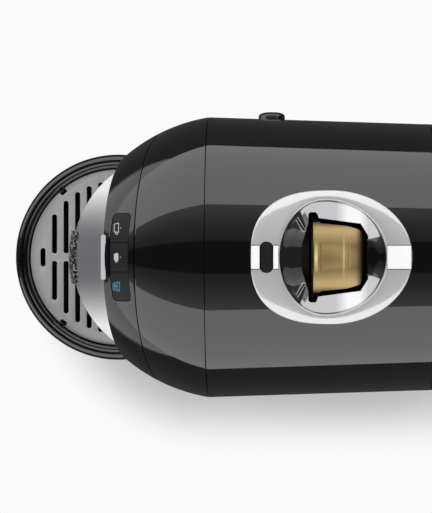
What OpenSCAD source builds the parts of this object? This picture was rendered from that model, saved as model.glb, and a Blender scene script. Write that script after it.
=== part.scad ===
// Pod coffee machine, front towards -Y, standing on z = 0, all sizes in millimetres.
// A bullet-shaped body on a base holds the brewing unit. The nose hangs over a round drip tray.

/* [Body] */
// Height from the counter to the top of the body
body_h = 262; // [258:1:268]
// Width of the body at the nose seam, its widest section
body_w = 153.2; // [150:0.2:158]
// Width of the body where its rear corners begin
rear_w = 145.4; // [142:0.2:149]
// Drop from the top of the body to its widest line
waist_drop = 77; // [74:1:80]
// How far each side tucks in from the waist down to the counter
tuck = 7; // [5:0.5:8]
// Fullness of the arched section, where 2 is a plain ellipse
arch_power = 2.2; // [2:0.05:2.4]
// Wall of the moulded covers
wall = 2.5; // [2.2:0.1:2.8]
// Open joint line between two neighbouring covers
seam_gap = 0.4; // [0.3:0.05:0.6]

/* [Nose] */
// Y of the vertical seam between nose and main body
seam_y = -28; // [-30:1:-26]
// Y of the front rim of the head at the middle
rim_y = -82.4; // [-83:0.2:-81.6]
// Width along Y of the control panel at the middle
panel_len = 17; // [16:0.5:18]
// How far the rim moves back for each millimetre down
rim_rake = 0.2; // [0.18:0.01:0.22]
// Radius of the nose in the plan view
nose_plan_r = 94; // [92:1:100]
// Radius of the nose in the side view
nose_side_r = 87; // [85:1:92]
// Drop from the top of the body to the underside of the head
head_drop = 102; // [100:1:104]

/* [Cowl] */
// Height of the cowl's lower edge above the underside of the head
cowl_rise = 8; // [7:0.5:9]
// Y of the foremost point of the cowl's lower edge
cowl_y = -104.7; // [-106:0.1:-103]
// Side thickness of the rim that frames the cowl
rim_side = 4.6; // [4:0.1:5.2]
// Top thickness of the rim that frames the cowl
rim_top = 2.6; // [2.4:0.1:3]

/* [Drip tray] */
// Outer radius of the tray rim
tray_r = 62; // [60:0.5:62]
// Height of the top of the tray rim
tray_z = 48; // [47:0.5:48.5]
// Radius of the steel grille
grille_r = 53; // [52:0.5:53.5]
// Thickness of the grille sheet
grille_t = 1.2; // [1:0.1:1.4]
// Distance between two rows of slots
slot_pitch = 7; // [6.6:0.1:7.2]
// Width of one slot
slot_w = 3; // [2.6:0.1:3.4]
// Radius that the ends of the slots reach
slot_reach = 46.4; // [45:0.2:47]
// Width of the solid web along the middle of the grille
web_w = 4.4; // [4:0.2:5]

/* [Pod] */
// Radius of the pod flange
pod_flange_r = 22.7; // [22.5:0.1:22.9]
// Radius of the pod body next to the flange
pod_r = 18.9; // [18:0.1:19]
// Radius of the pod body at its small end
pod_end_r = 15.4; // [15:0.1:16]
// Length of the pod body behind the flange
pod_len = 27; // [26.7:0.1:27.2]
// Drop from the top of the body to the axis of the pod in the brewing unit
pod_drop = 46; // [45:0.5:48]
// Y of the front face of the pod flange
pod_y = 27.6; // [27.3:0.1:27.8]

/* [Inlet] */
// Y of the middle of the chrome ring
ring_y = 38.1; // [37.8:0.1:38.6]
// Half length of the ring along Y
ring_ly = 41.9; // [41.5:0.1:42.4]
// Half width of the ring along X
ring_lx = 34.9; // [34:0.1:35.5]
// Height of the ring above the body skin
ring_proud = 1.6; // [1.4:0.1:2]
// Y of the widest line of the funnel mouth
mouth_y = 35.3; // [35:0.1:35.6]
// Half width of the funnel mouth
mouth_rx = 29.6; // [29.3:0.1:29.9]
// Reach of the funnel mouth to the rear of its widest line
mouth_rear = 31.2; // [31:0.1:31.5]
// Reach of the funnel mouth to the front of its widest line
mouth_front = 24; // [23.7:0.1:24.2]

/* [Buttons] */
// Width of one brew button along X
button_w = 15; // [14.6:0.1:15.4]
// Length of a brew button along the slope
button_len = 12.6; // [12:0.1:13]
// Gap around each button
button_gap = 0.4; // [0.35:0.05:0.6]
// Travel of a brew button
button_travel = 1; // [0.8:0.1:1.2]
// Radius of the power button
power_r = 7.2; // [7:0.1:7.6]
// Height of the power button above the body side
power_proud = 4; // [3.6:0.1:4.4]

/* [Base] */
// Height of the rubber feet
foot_h = 4; // [3.5:0.1:4.5]
// Radius of a rubber foot
foot_r = 7; // [6:0.5:8]
// Thickness of the base plate
plate_t = 6; // [5.5:0.5:6]
// Height of the deck that carries the drawer and the tank
deck_z = 50; // [49.5:0.5:50.5]

/* [Tank] */
// Y of the seam between the body and the water tank
tank_y = 92; // [91:0.5:93]
// Wall of the water tank
tank_wall = 2.4; // [2.2:0.1:3]
// Drop from the top of the body to the joint between tank and lid
lid_drop = 40; // [38:1:42]

/* [Drawer] */
// Inner half width of the used pod drawer
drawer_hx = 42.5; // [41:0.5:43]
// Room between the top of the drawer front and the underside of the head
drawer_room = 12; // [11:1:14]
// Wall of the drawer
drawer_wall = 2; // [1.8:0.1:2.4]

/* [Brewing unit] */
// Stroke of the moving brewing chamber
stroke = 28.1; // [27.9:0.1:28.3]
// Outer radius of the brewing chamber
chamber_r = 22.6; // [22.4:0.1:23]
// Radius of the two guide rods
rod_r = 3; // [2.8:0.1:3.2]
// Half distance between the guide rods
rod_x = 30; // [29.8:0.1:30.4]
// Module of the rack and pinion
gear_m = 1; // [0.9:0.05:1]
// Number of teeth of the pinion
pinion_n = 12; // [12:1:14]

/* [Hidden] */
$fn = 48;
eps = 0.01;
run_gap = 0.3;                 // gap between pieces that move past each other
rear_y = 150;                  // rearmost point of the body
corner_y = 87.4;               // where the rear corners begin in the plan view
corner_w = 38;                 // how far the rear corners pull in
crown_y = 92;                  // where the top starts to fall to the rear
crown_drop = 36;               // how far the top falls to the rear
nose_plan_a = 9.3;             // angle of the nose against the Y axis at the seam, in plan
nose_side_a = 5;               // the same in the side view
arch_n = 44;                   // steps round the arch
waist_z = body_h - waist_drop;
head_z = body_h - head_drop;
cowl_z = head_z + cowl_rise;
pod_z = body_h - pod_drop;
lid_z = body_h - lid_drop;
drawer_top = head_z - drawer_room;
base_z = foot_h;
plate_top = base_z + plate_t;
skirt_gap = 0.4;               // joint line between base skirt and main cover
tray_y = -88;                  // centre of the round cup tray
skirt_y = tray_y + tray_r + 0.4; // front face of the base, just behind the tray

// ---------------------------------------------------------------- outer form

function arc_drop(d, r, a) = r * cos(a) - sqrt(r * r - pow(d + r * sin(a), 2));

function quarter_drop(u, depth) = depth * (1 - sqrt(max(0, 1 - u * u)));

// Half width of the body at the waist
function half_w(y) =
  y < seam_y ? body_w / 2 - arc_drop(seam_y - y, nose_plan_r, nose_plan_a)
  : y < corner_y ? body_w / 2 + (rear_w - body_w) / 2 * (y - seam_y) / (corner_y - seam_y)
  : rear_w / 2 - quarter_drop((y - corner_y) / (rear_y - corner_y), corner_w);

// Height of the crown line
function head_top(y) =
  y < seam_y ? body_h - arc_drop(seam_y - y, nose_side_r, nose_side_a)
  : y < crown_y ? body_h
  : body_h - quarter_drop((y - crown_y) / (rear_y - crown_y), crown_drop);

// Half width at a height under the waist
function side_w(y, z) = half_w(y) - tuck * (waist_z - z) / waist_z;

// Half width of the arch at any height, for a skin that lies ox and oz inside the outer one
function skin_w(y, z, ox, oz) =
  z <= waist_z ? side_w(y, z) - ox
  : (half_w(y) - ox) * pow(max(0, 1 - pow(min(1, (z - waist_z) / (head_top(y) - oz - waist_z)),
      arch_power)),
                           1 / arch_power);

function lerp(a, b, t) = a + (b - a) * t;

// Section of the body in the XZ plane, down to height z0
function section(y, ox, oz, z0) = concat(
  [for (i = [0 : arch_n]) let (t = 180 * i / arch_n)
    [(half_w(y) - ox) * sign(cos(t)) * pow(abs(cos(t)), 2 / arch_power),
     waist_z + (head_top(y) - oz - waist_z) * pow(abs(sin(t)), 2 / arch_power)]],
  [[-(side_w(y, z0) - ox), z0], [side_w(y, z0) - ox, z0]]);

function slice(y, ox, oz, z0) = [for (p = section(y, ox, oz, z0)) [p[0], y, p[1]]];

// Solid through a row of outlines that have the same number of points
module loft(rings) {
  m = len(rings[0]);
  last = len(rings) - 1;
  polyhedron([for (r = rings) each r], concat([[for (k = [m - 1 : -1 : 0]) k]],
      [[for (k = [0 : m - 1]) last * m + k]],
    [for (j = [0 : last - 1], k = [0 : m - 1]) let (a = j * m + k, b = j * m + (k + 1) % m)
        each [[a, b, b + m], [a, b + m, a + m]]]));
}

// Solid of the body between two Y values, lofted in n steps
module body_solid(y0, y1, ox = 0, oz = 0, z0 = 0, n = 1)
  loft([for (i = [0 : n]) slice(lerp(y0, y1, i / n), ox, oz, z0)]);

// Everything in front of the raked plane that meets the crown line at y
module before_plane(y)
  translate([0, y, head_top(y)]) rotate([atan(rim_rake), 0, 0]) translate([-100, -100, -150])
      cube([200, 100, 250]);

oval_front = 2.6;              // fullness of the ring's outline in front of its middle, 2 is an ellipse
oval_rear = 2.03;              // and behind it

module oval(ly, lx, y, n = 72)
  polygon([for (i = [0 : n - 1]) let (t = 360 * i / n, bow = 2 / (sin(t) < 0 ? oval_front : oval_rear))
    [lx * sign(cos(t)) * pow(abs(cos(t)), bow), y + ly * sign(sin(t)) * pow(abs(sin(t)), bow)]]);

module round_bar(w, l, h, r) // a block of w by l by h with four rounded corners, centred in X and Y
  linear_extrude(h) union() {
    square([w - 2 * r, l], center = true);
    square([w, l - 2 * r], center = true);
    for (sx = [-1, 1], sy = [-1, 1]) translate([sx * (w / 2 - r), sy * (l / 2 - r)]) circle(r);
  }

// ---------------------------------------------------------------- covers

module main_cover() color("#17181a") difference() {
  body_solid(seam_y + seam_gap, tank_y, 0, 0, deck_z + skirt_gap);
  body_solid(seam_y - 1, tank_y + 1, wall, wall, deck_z - 5);
  translate([0, 0, body_h - 40]) linear_extrude(60) mouth(bore_gap + collar_t + run_gap);
  translate([0, eject_y, body_h - 20]) round_bar(eject_w + 2, eject_len + 2, 40, eject_cr + 1);
  translate([-body_w / 2 - 5, power_y, waist_z]) rotate([0, 90, 0]) cylinder(r = power_r + run_gap, h = 12);
}

panel_seam_y = rim_y + panel_len;

module nose_cover() color("#17181a") difference() {
  body_solid(panel_seam_y - 6, seam_y, 0, 0, head_z, 6);
  body_solid(panel_seam_y - 12, seam_y + 1, wall, wall, head_z - 5, 6);
  before_plane(panel_seam_y + seam_gap);
}

// Frame of the button field: X across, Y up the slope, Z out of the panel
button_y = rim_y + 8.6;
button_slope = asin((seam_y - button_y + nose_side_r * sin(nose_side_a)) / nose_side_r);

module on_panel() translate([0, button_y, head_top(button_y)]) rotate([button_slope, 0, 0]) children();

module control_panel() color("#1b1c1f") difference() {
  body_solid(rim_y - 0.5, panel_seam_y + 22, 0, 0, head_z, 5);
  body_solid(rim_y - 6, panel_seam_y + 24, rim_side, rim_top, head_z - 5, 5);
  before_plane(rim_y);
  translate([0, panel_len, head_top(rim_y + panel_len) - head_top(rim_y)]) difference() {
    translate([-100, rim_y - 20, 0]) cube([200, 150, 300]);
    before_plane(rim_y);
  }
  on_panel() translate([0, 0, -12])
    round_bar(3 * button_w + 4 * button_gap, button_len + 2 * button_gap, 20, 2.6);
  light_bar_shape(run_gap / 2);
}

// Lower part of the head skin at the rim, where the cowl's edge lies
cowl_top = head_top(rim_y) - rim_top - run_gap;
cowl_back = 4;
function cowl_rim_y(z) = rim_y + rim_rake * (head_top(rim_y) - z);
function cowl_front_y(z) = lerp(cowl_y, rim_y, (z - cowl_z) / (head_top(rim_y) - cowl_z));
function cowl_half(z, t) = max(1.5, skin_w(cowl_rim_y(z), z, rim_side + run_gap, rim_top + run_gap)) - t;

// Plan outline of the cowl at height z, t inside its outer face: an arc between the two rim points
function cowl_outline(z, t) =
  let (x = cowl_half(z, t), yb = cowl_rim_y(z), s = yb - cowl_front_y(z) - t, r = (x * x + s * s) / (2 * s),
       a = asin(min(1, x / r)), yc = cowl_front_y(z) + t + r, far = s > x ? 180 - a : a)
  concat([for (i = [-12 : 12]) [r * sin(far * i / 12), yc - r * cos(far * i / 12)]],
         [[x, yb + cowl_back], [-x, yb + cowl_back]]);

module cowl_solid(z0, z1, t, n = 9)
  loft([for (i = [0 : n]) let (z = lerp(z1, z0, i / n)) [for (p = cowl_outline(z, t)) [p[0], p[1], z]]]);

module spout_cowl() color("#b9bbbf") difference() {
  cowl_solid(cowl_z, cowl_top, 0);
  difference() {
    cowl_solid(cowl_z - 1, cowl_top - 3, 2.2);
    translate([-100, -150, cowl_top - 4]) cube([200, 100, 50]);
  }
  translate([-100, rim_y + rim_rake * 80 + 3, cowl_z - 5]) cube([200, 60, 12]);
}

badge_w = 32;                  // width of the knurled badge
badge_h = 9.5;                 // its height up the cowl
badge_t = 2.6;                 // how far it stands out

module cowl_badge() color("#2a2a2d") intersection() {
  difference() {
    cowl_solid(cowl_z + 0.6, cowl_z + badge_h, -badge_t, 2);
    cowl_solid(cowl_z - 1, cowl_z + badge_h + 1, -0.02, 2);
  }
  translate([-badge_w / 2, cowl_y - 10, cowl_z]) cube([badge_w, 30, badge_h + 2]);
}

light_w = 24;                  // width of the status light
light_t = 2.6;                 // its size along Y
light_d = 3.2;                   // its depth into the rim

module light_bar_shape(g)
  translate([0, rim_y + light_t / 2 - 0.5, head_top(rim_y) + 0.8 - light_d]) rotate([atan(rim_rake), 0, 0])
    linear_extrude(light_d + g) union() {
      square([light_w - light_t, light_t + 2 * g], center = true);
      for (s = [-1, 1]) translate([s * (light_w - light_t) / 2, 0]) circle(light_t / 2 + g);
    }

module light_bar() color("#d9dce2") light_bar_shape(0);

floor_step_y = panel_seam_y + rim_rake * (head_top(panel_seam_y) - head_z) + 1; // where the floor widens behind the panel

module head_floor() color("#141416") difference() {
  union() {
    plan_plate(head_z, wall, cowl_rim_y(head_z) + 1, floor_step_y, rim_side + 0.3);
    plan_plate(head_z, wall, floor_step_y - eps, seam_y, wall + 0.3);
    plan_plate(head_z, cowl_z - run_gap - head_z, cowl_rim_y(head_z) + 1, cowl_rim_y(head_z) + 3.5,
        rim_side + 0.3);
  }
  for (x = [-20, 20]) translate([x, seam_y - 12, head_z - 1]) cylinder(r = 2, h = 6);
  translate([0, spout_y + 22, head_z - 1]) cylinder(r = 6, h = 6);
}

// Y values along the body, closer together where the rear corners turn in
function plan_ys(y0, y1) = let (ym = min(y1, corner_y)) concat(
  [for (i = [0 : 6]) lerp(y0, ym, i / 6)], y1 <= corner_y ? [] : [for (i = [1 : 14])
      lerp(corner_y, y1, sin(90 * i / 14))]);

// Flat plate with the plan outline of the body between two Y values, ox inside the skin
module plan_plate(z, t, y0, y1, ox)
  let (ys = plan_ys(y0, y1), last = len(ys) - 1) translate([0, 0, z]) linear_extrude(t) polygon(concat(
    [for (y = ys) [side_w(y, z) - ox, y]], [for (i = [last : -1 : 0]) [ox - side_w(ys[i], z), ys[i]]]));

// ---------------------------------------------------------------- spout

spout_y = tray_y + 2;
spout_drop = 14;               // how far the nozzle hangs under the cowl
outlet_x = 8;                  // half distance between the two coffee outlets

module spout_plate() color("#141416") difference() {
  translate([0, 0, cowl_z + 1]) linear_extrude(2.5) polygon(cowl_outline(cowl_z + 1, 3.4));
  translate([0, spout_y, cowl_z - 1]) cylinder(r = 6, h = 10);
}

module spout_nozzle() color("#1d1e20") difference() {
  union() {
    translate([0, spout_y, cowl_z - 4]) round_bar(30, 18, 5, 6);
    for (s = [-1, 1]) translate([s * outlet_x, spout_y, cowl_z - spout_drop])
        cylinder(r1 = 4, r2 = 5, h = spout_drop);
    translate([0, spout_y, cowl_z]) cylinder(r = 5.6, h = 12);
  }
  for (s = [-1, 1]) translate([s * outlet_x, spout_y, cowl_z - spout_drop - 1])
      cylinder(r = 2.4, h = spout_drop - 1);
  translate([0, spout_y, cowl_z - 3]) cylinder(r = 2.6, h = 30);
  translate([-outlet_x, spout_y - 2, cowl_z - 3]) cube([2 * outlet_x, 4, 3]);
}

// ---------------------------------------------------------------- pod inlet

bore_gap = 0.1;                // room between the funnel and the bore of the ring
collar_t = 1.5;                // wall of the ring's collar that holds the funnel
eject_y = 4.5;                 // middle of the oblong key on the ring
eject_w = 15.6;                // its size along X
eject_len = 6.4;               // its size along Y
eject_cr = 2.9;                // its corner radius

// Outline of the funnel mouth in plan, grown by g all round
module mouth(g, n = 72)
  polygon([for (i = [0 : n - 1]) let (t = 360 * i / n, reach = sin(t) > 0 ? mouth_rear : mouth_front)
    [(mouth_rx + g) * cos(t), mouth_y + (reach + g) * sin(t)]]);

module inlet_ring() color("#dfe1e4") difference() {
  intersection() {
    translate([0, 0, body_h - 30]) linear_extrude(40) oval(ring_ly, ring_lx, ring_y);
    body_solid(ring_y - ring_ly - 2, ring_y + ring_ly + 2, -ring_proud, -ring_proud, waist_z);
  }
  difference() {
    body_solid(ring_y - ring_ly - 4, ring_y + ring_ly + 4, -0.05, -0.05, waist_z - 5);
    translate([0, 0, funnel_top - 7.5]) linear_extrude(30) mouth(bore_gap + collar_t);
  }
  translate([0, 0, body_h - 40]) linear_extrude(60) mouth(bore_gap);
  translate([0, eject_y, body_h - 20]) round_bar(eject_w + 2 * run_gap, eject_len + 2 * run_gap, 40,
      eject_cr + run_gap);
}

slot_gap = 1.4;                // room round the pod in the funnel slot
funnel_top = body_h - 6.5;
funnel_low = pod_z + pod_flange_r + 9.5;

// Half of the outline of the pod lying on its side, with g of room all round
function pod_outline(g) = [
  [0, pod_y - 3.6 - g], [(pod_r - 12), pod_y - 3.3 - g], [pod_r - 1, pod_y - g],
      [pod_flange_r + g * 0.6, pod_y - g],
  [pod_flange_r + g * 0.6, pod_y + 2 + g], [pod_r + g * 1.2, pod_y + 2 + g],
      [pod_end_r + g * 1.6, pod_y + pod_len - 1],
  [pod_end_r - 4, pod_y + pod_len + 1.4 + g], [0, pod_y + pod_len + 2.4 + g]];

module pod_shadow(g) polygon(concat(pod_outline(g),
    [for (i = [7 : -1 : 1]) let (p = pod_outline(g)[i]) [-p[0], p[1]]]));

// A bowl with an upright wall that follows the mouth, slotted for the pod
module inlet_funnel() color("#cfd1d4") difference() {
  union() {
    intersection() {
      translate([0, mouth_y, 0]) rotate_extrude() polygon([
        [0, funnel_low], [16, funnel_low], [32, funnel_top - 4.4], [32, funnel_top - 2.2], [17, funnel_low + 2.4],
        [0, funnel_low + 1.6]]);
      translate([0, 0, funnel_low - 5]) linear_extrude(30) mouth(0);
    }
    translate([0, 0, funnel_top - 4.4]) linear_extrude(4.4) difference() {
      mouth(0);
      mouth(-1.4);
    }
  }
  translate([0, 0, funnel_low - 5]) linear_extrude(40) pod_shadow(slot_gap);
}

module eject_button() color("#2e2c2e") translate([0, eject_y, body_h - 6])
  round_bar(eject_w, eject_len, 6 + ring_proud - 0.5, eject_cr);

// ---------------------------------------------------------------- brew buttons

// A button cut out of the panel skin, i counts from -1 to 1 across the panel
module brew_button(i) intersection() {
  difference() {
    body_solid(rim_y - 4, rim_y + 24, -0.3, -0.3, waist_z, 5);
    body_solid(rim_y - 6, rim_y + 26, 3, 3, waist_z - 5, 5);
  }
  on_panel() translate([i * (button_w + button_gap), 0, -12]) linear_extrude(20)
      square([button_w, button_len], center = true);
  on_panel() translate([0, 0, -12]) round_bar(3 * button_w + 2 * button_gap, button_len, 20, 2.2);
}

module button_large_cup() color("#2b2b2d") brew_button(-1);
module button_small_cup() color("#2b2b2d") brew_button(0);
module button_hot_water() color("#2b2b2d") brew_button(1);

module keypad_board() color("#1f5a33") on_panel() {
  translate([-26, -7, -12.6]) cube([52, 14, 1.6]);
  for (i = [-1 : 1]) translate([i * (button_w + button_gap), 0, -11])
      cylinder(r = 2.5, h = (i == 0 ? 7.7 : 6) - button_travel);
  for (s = [-1, 1]) translate([s * 25, 0, -11]) cylinder(r = 1.5, h = 4);
}

power_y = 6.4;

module power_button() color("#2c2d30") translate([-half_w(power_y) - power_proud, power_y, waist_z])
    rotate([0, 90, 0])
  union() {
    cylinder(r1 = power_r - 2.4, r2 = power_r, h = 2.6);
    translate([0, 0, 2.6]) cylinder(r = power_r, h = power_proud + wall);
  }

power_travel = 1.5;            // travel of the power button
power_back = 2.6 + wall;       // depth of the button's inner face behind the body side

module power_switch() color("#3a3b3e") translate([-half_w(power_y) + power_back + power_travel + 0.5,
    power_y, waist_z]) union() {
  translate([0, -8, -8]) cube([16, 16, 16]);
  rotate([0, 90, 0]) translate([0, 0, -0.2]) cylinder(r = 2.5, h = 1.4);
  for (s = [-1, 1]) translate([wall - power_back - power_travel + 0.5, s * 10 - 2.2, -8])
      cube([6.3, 4.4, 16]);
}

// ---------------------------------------------------------------- base

module base_plate() color("#1a1a1c") union() {
  plan_plate(base_z, plate_t, skirt_y, rear_y - 3, 3.2);
  translate([0, tray_y, base_z]) cylinder(r = tray_r - 6, h = plate_t);
  translate([-44, tray_y, base_z]) cube([88, skirt_y - tray_y + 1, plate_t]);
}

foot_places = [[-30, tray_y - 32], [30, tray_y - 32], [-52, 118], [52, 118]];

module rubber_feet() color("#0f0f10") for (p = foot_places) translate([p[0], p[1], 0])
  cylinder(r = foot_r, h = foot_h);

screw_places = [[-54, -14], [54, -14], [-50, 80], [50, 80]];

module base_screws() color("#8c8f94") for (p = screw_places) translate([p[0], p[1], base_z - 1.6])
    cylinder(r = 3.4, h = 1.6);

module base_skirt() color("#1b1b1d") difference() {
  low_body(skirt_y, rear_y, plate_top, deck_z, 0);
  low_body(skirt_y + wall, rear_y - wall, plate_top - 1, deck_z - wall, wall);
  translate([-tongue_w / 2 - 1, seam_y - 5, plate_top - 1]) cube([tongue_w + 2, 20, tongue_h + 2.4]);
  translate([0, valve_y, deck_z - 8]) cylinder(r = socket_r + 0.1, h = 20);
  translate([inlet_x - 14.2, rear_y - 10, inlet_z - 10.4]) cube([28.4, 20, 20.8]);
  translate([hose_x, -12, deck_z - 8]) cylinder(r = 4.4, h = 16);
}

// The part of the body between two heights under the waist, ox inside the skin
module low_body(y0, y1, z0, z1, ox) hull() {
  plan_plate(z0, eps, y0, y1, ox);
  plan_plate(z1 - eps, eps, y0, y1, ox);
}

module column_frame() color("#141416") translate([0, seam_y + wall + seam_gap + 0.2, 0]) rotate([90, 0, 0])
    linear_extrude(wall)
  difference() {
    polygon([[side_w(seam_y, deck_z) - wall - 0.4, deck_z + 0.2],
        [side_w(seam_y, head_z) - wall - 0.4, head_z - 0.2],
             [-side_w(seam_y, head_z) + wall + 0.4, head_z - 0.2],
                 [-side_w(seam_y, deck_z) + wall + 0.4, deck_z + 0.2]]);
    translate([-drawer_hx - drawer_wall - 2.4, deck_z])
        square([2 * (drawer_hx + drawer_wall + 2.4), drawer_top - deck_z + 1]);
  }

drop_hx = pod_flange_r + 3;    // half width of the hole that used pods fall through

module mid_deck() color("#222326") difference() {
  plan_plate(head_z - 4, 3, seam_y + wall + seam_gap + 0.4, tank_y - wall - 0.6, wall + 0.4);
  translate([-drop_hx, pod_y - 5, head_z - 5]) cube([2 * drop_hx, pod_len + 12, 6]);
  translate([hose_x, -12, head_z - 5]) cylinder(r = 4.4, h = 6);
}

module rear_bulkhead() color("#222326") translate([0, tank_y - 0.2, 0]) rotate([90, 0, 0])
    linear_extrude(wall)
  polygon(section(tank_y, wall + 0.4, wall + 0.4, deck_z + 0.2));

// ---------------------------------------------------------------- drip tray

tongue_w = 76;                 // width of the part of the tray that runs into the base
tongue_h = 28;
tongue_y = 8;                  // how far the tongue reaches under the body
pan_z = plate_top + run_gap;
shelf_z = tray_z - 5;          // height of the shelf that the grille lies on

module drip_tray() color("#161618") difference() {
  union() {
    translate([0, tray_y, 0]) rotate_extrude() polygon([[0, pan_z], [tray_r - 7, pan_z],
        [tray_r - 2.4, shelf_z - 6],
      [tray_r - 2.4, shelf_z - 3.4], [0, shelf_z - 3.4]]);
    translate([-tongue_w / 2, tray_y + 20, pan_z]) cube([tongue_w, tongue_y - tray_y - 20, tongue_h]);
  }
  translate([0, tray_y, 0]) rotate_extrude() polygon([[0, pan_z + 2.5], [tray_r - 9.6, pan_z + 2.5],
      [tray_r - 5, shelf_z - 6],
    [tray_r - 5, shelf_z], [0, shelf_z]]);
  translate([-tongue_w / 2 + 2.5, tray_y + 18, pan_z + 2.5])
      cube([tongue_w - 5, tongue_y - tray_y - 20.5, tongue_h]);
}

// Bead profile of the rim: a wide outer bead, a groove and a narrow inner bead beside the grille
function bead(rc, zc, rr, rz, a0, a1, n) = [for (i = [0 : n])
    let (a = lerp(a0, a1, i / n)) [rc + rr * cos(a), zc + rz * sin(a)]];

rim_inner_r = grille_r + 0.4;
tab_a = 50;                    // angle of each grille tab from straight ahead

module tray_rim() color("#121214") translate([0, tray_y, 0]) union() {
  rotate_extrude() polygon(concat([[rim_inner_r - 3, shelf_z - 3.2], [tray_r - 2.2, shelf_z - 3.2],
      [tray_r, shelf_z - 1]],
    bead(tray_r - 2.2, tray_z - 2.4, 2.2, 2.4, 0, 170, 8),
        bead(rim_inner_r + 2.2, tray_z - 2.8, 1.6, 1.4, 10, 180, 6),
    [[rim_inner_r, tray_z - 4], [rim_inner_r, shelf_z - 0.2], [rim_inner_r - 3, shelf_z - 0.2]]));
  for (s = [-1, 1]) rotate([0, 0, -90 + s * tab_a]) translate([rim_inner_r - 2.4, -1.8, shelf_z - 1])
      cube([3.4, 3.6, 3.4]);
}

function slot_end(y) = sqrt(max(0, slot_reach * slot_reach - y * y));

module cup_grille() color("#a9a7a6") translate([0, tray_y, shelf_z]) difference() {
  cylinder(r = grille_r, h = grille_t);
  for (k = [-6.5 : 6.5]) let (y = k * slot_pitch, e = slot_end(y), lone = abs(k) > 6)
    if (lone) slot(0, y, 2 * min(e, 5.6));
    else for (s = [-1, 1]) slot(s * (e + web_w / 2) / 2, y, e - web_w / 2);
  for (s = [-1, 1]) rotate([0, 0, -90 + s * tab_a])
      translate([rim_inner_r - 2.4 - run_gap, -1.8 - run_gap, -1])
    cube([6, 3.6 + 2 * run_gap, 5]);
}

module slot(x, y, l) translate([x, y, -1]) linear_extrude(grille_t + 2) union() {
  square([l - slot_w, slot_w], center = true);
  for (s = [-1, 1]) translate([s * (l - slot_w) / 2, 0]) circle(slot_w / 2, $fn = 24);
}

// ---------------------------------------------------------------- used pod drawer

drawer_y1 = 60;                // rear end of the drawer
drawer_z0 = deck_z + run_gap;

module pod_drawer() color("#1f2023") difference() {
  translate([-drawer_hx - drawer_wall, seam_y + 3, drawer_z0])
      cube([2 * (drawer_hx + drawer_wall), drawer_y1 - seam_y - 3, drawer_top - deck_z - 6]);
  translate([-drawer_hx, seam_y + 3 + drawer_wall, drawer_z0 + 2])
      cube([2 * drawer_hx, drawer_y1 - seam_y - 3 - 2 * drawer_wall, drawer_top - deck_z]);
}

module drawer_front() color("#17181a") difference() {
  translate([-drawer_hx - drawer_wall - 2, seam_y, drawer_z0])
      cube([2 * (drawer_hx + drawer_wall + 2), 3, drawer_top - drawer_z0]);
  translate([0, seam_y - 4, drawer_top]) rotate([-90, 0, 0]) cylinder(r = 16, h = 8);
}

// ---------------------------------------------------------------- water tank

valve_y = max(tank_y + 14.5, rear_y - 32);
socket_r = 13;
tank_z0 = deck_z + run_gap;

// Outer form of tank and lid, off inside the skin, from height z0 up, in steps that close up to the rear
module tank_form(off, z0)
  loft([for (i = [0 : 9]) slice(lerp(tank_y + seam_gap + off, rear_y - off, sin(10 * i)), off, off, z0)]);

module water_tank() color([0.25, 0.27, 0.3, 0.5]) difference() {
  tank_form(0, tank_z0);
  tank_form(tank_wall, tank_z0 + tank_wall);
  translate([-100, 0, lid_z]) cube([200, 200, 100]);
  translate([0, valve_y, tank_z0 - 5]) cylinder(r = 9.1, h = 20);
}

module tank_lid() color("#17181a") difference() {
  tank_form(0, waist_z - 5);
  tank_form(tank_wall, waist_z - 10);
  translate([-100, 0, 0]) cube([200, 200, lid_z + run_gap]);
}

module valve_seal() color("#101012") translate([0, valve_y, deck_z - 2.4]) rotate_extrude()
    translate([9.9, 0]) circle(0.9);

module valve_body() color("#d8d8d4") difference() {
  union() {
    translate([0, valve_y, tank_z0 - 6]) cylinder(r = 9, h = 16);
    translate([0, valve_y, tank_z0 + tank_wall + 0.05]) cylinder(r = 12, h = 2);
  }
  translate([0, valve_y, tank_z0 - 8]) cylinder(r = 3.2, h = 40);
  translate([0, valve_y, tank_z0 + 4]) cylinder(r = 7, h = 40);
}

module valve_poppet() color("#b33a2e") union() {
  translate([0, valve_y, tank_z0 - 5]) cylinder(r = 2.4, h = 12);
  translate([0, valve_y, tank_z0 + 4.3]) cylinder(r = 6, h = 2);
}

module tank_socket() color("#1c1c1e") difference() {
  union() {
    translate([0, valve_y, deck_z - 14]) cylinder(r = socket_r, h = 14);
    translate([0, valve_y, deck_z - 22]) cylinder(r = 4, h = 9);
  }
  translate([0, valve_y, deck_z - 12]) cylinder(r = socket_r - 2, h = 20);
  translate([0, valve_y, deck_z - 30]) cylinder(r = 2, h = 19);
}

// ---------------------------------------------------------------- brewing unit

frame_x = 36;                  // inner face of each side plate
frame_t = 2;
pinion_r = gear_m * pinion_n / 2;
frame_y = 4;                   // front end of the brewing frame
frame_len = tank_y - frame_y - 4;
rack_drop = 14;                // drop from the pod axis to the pitch line of the rack
rack_z = pod_z - rack_drop;
pinion_y = 51;
pinion_x = rod_x - 3;
chamber_y = pod_y + pod_len + 3.6;
chamber_len = 27.2;
chamber_depth = 26.2;

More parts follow.
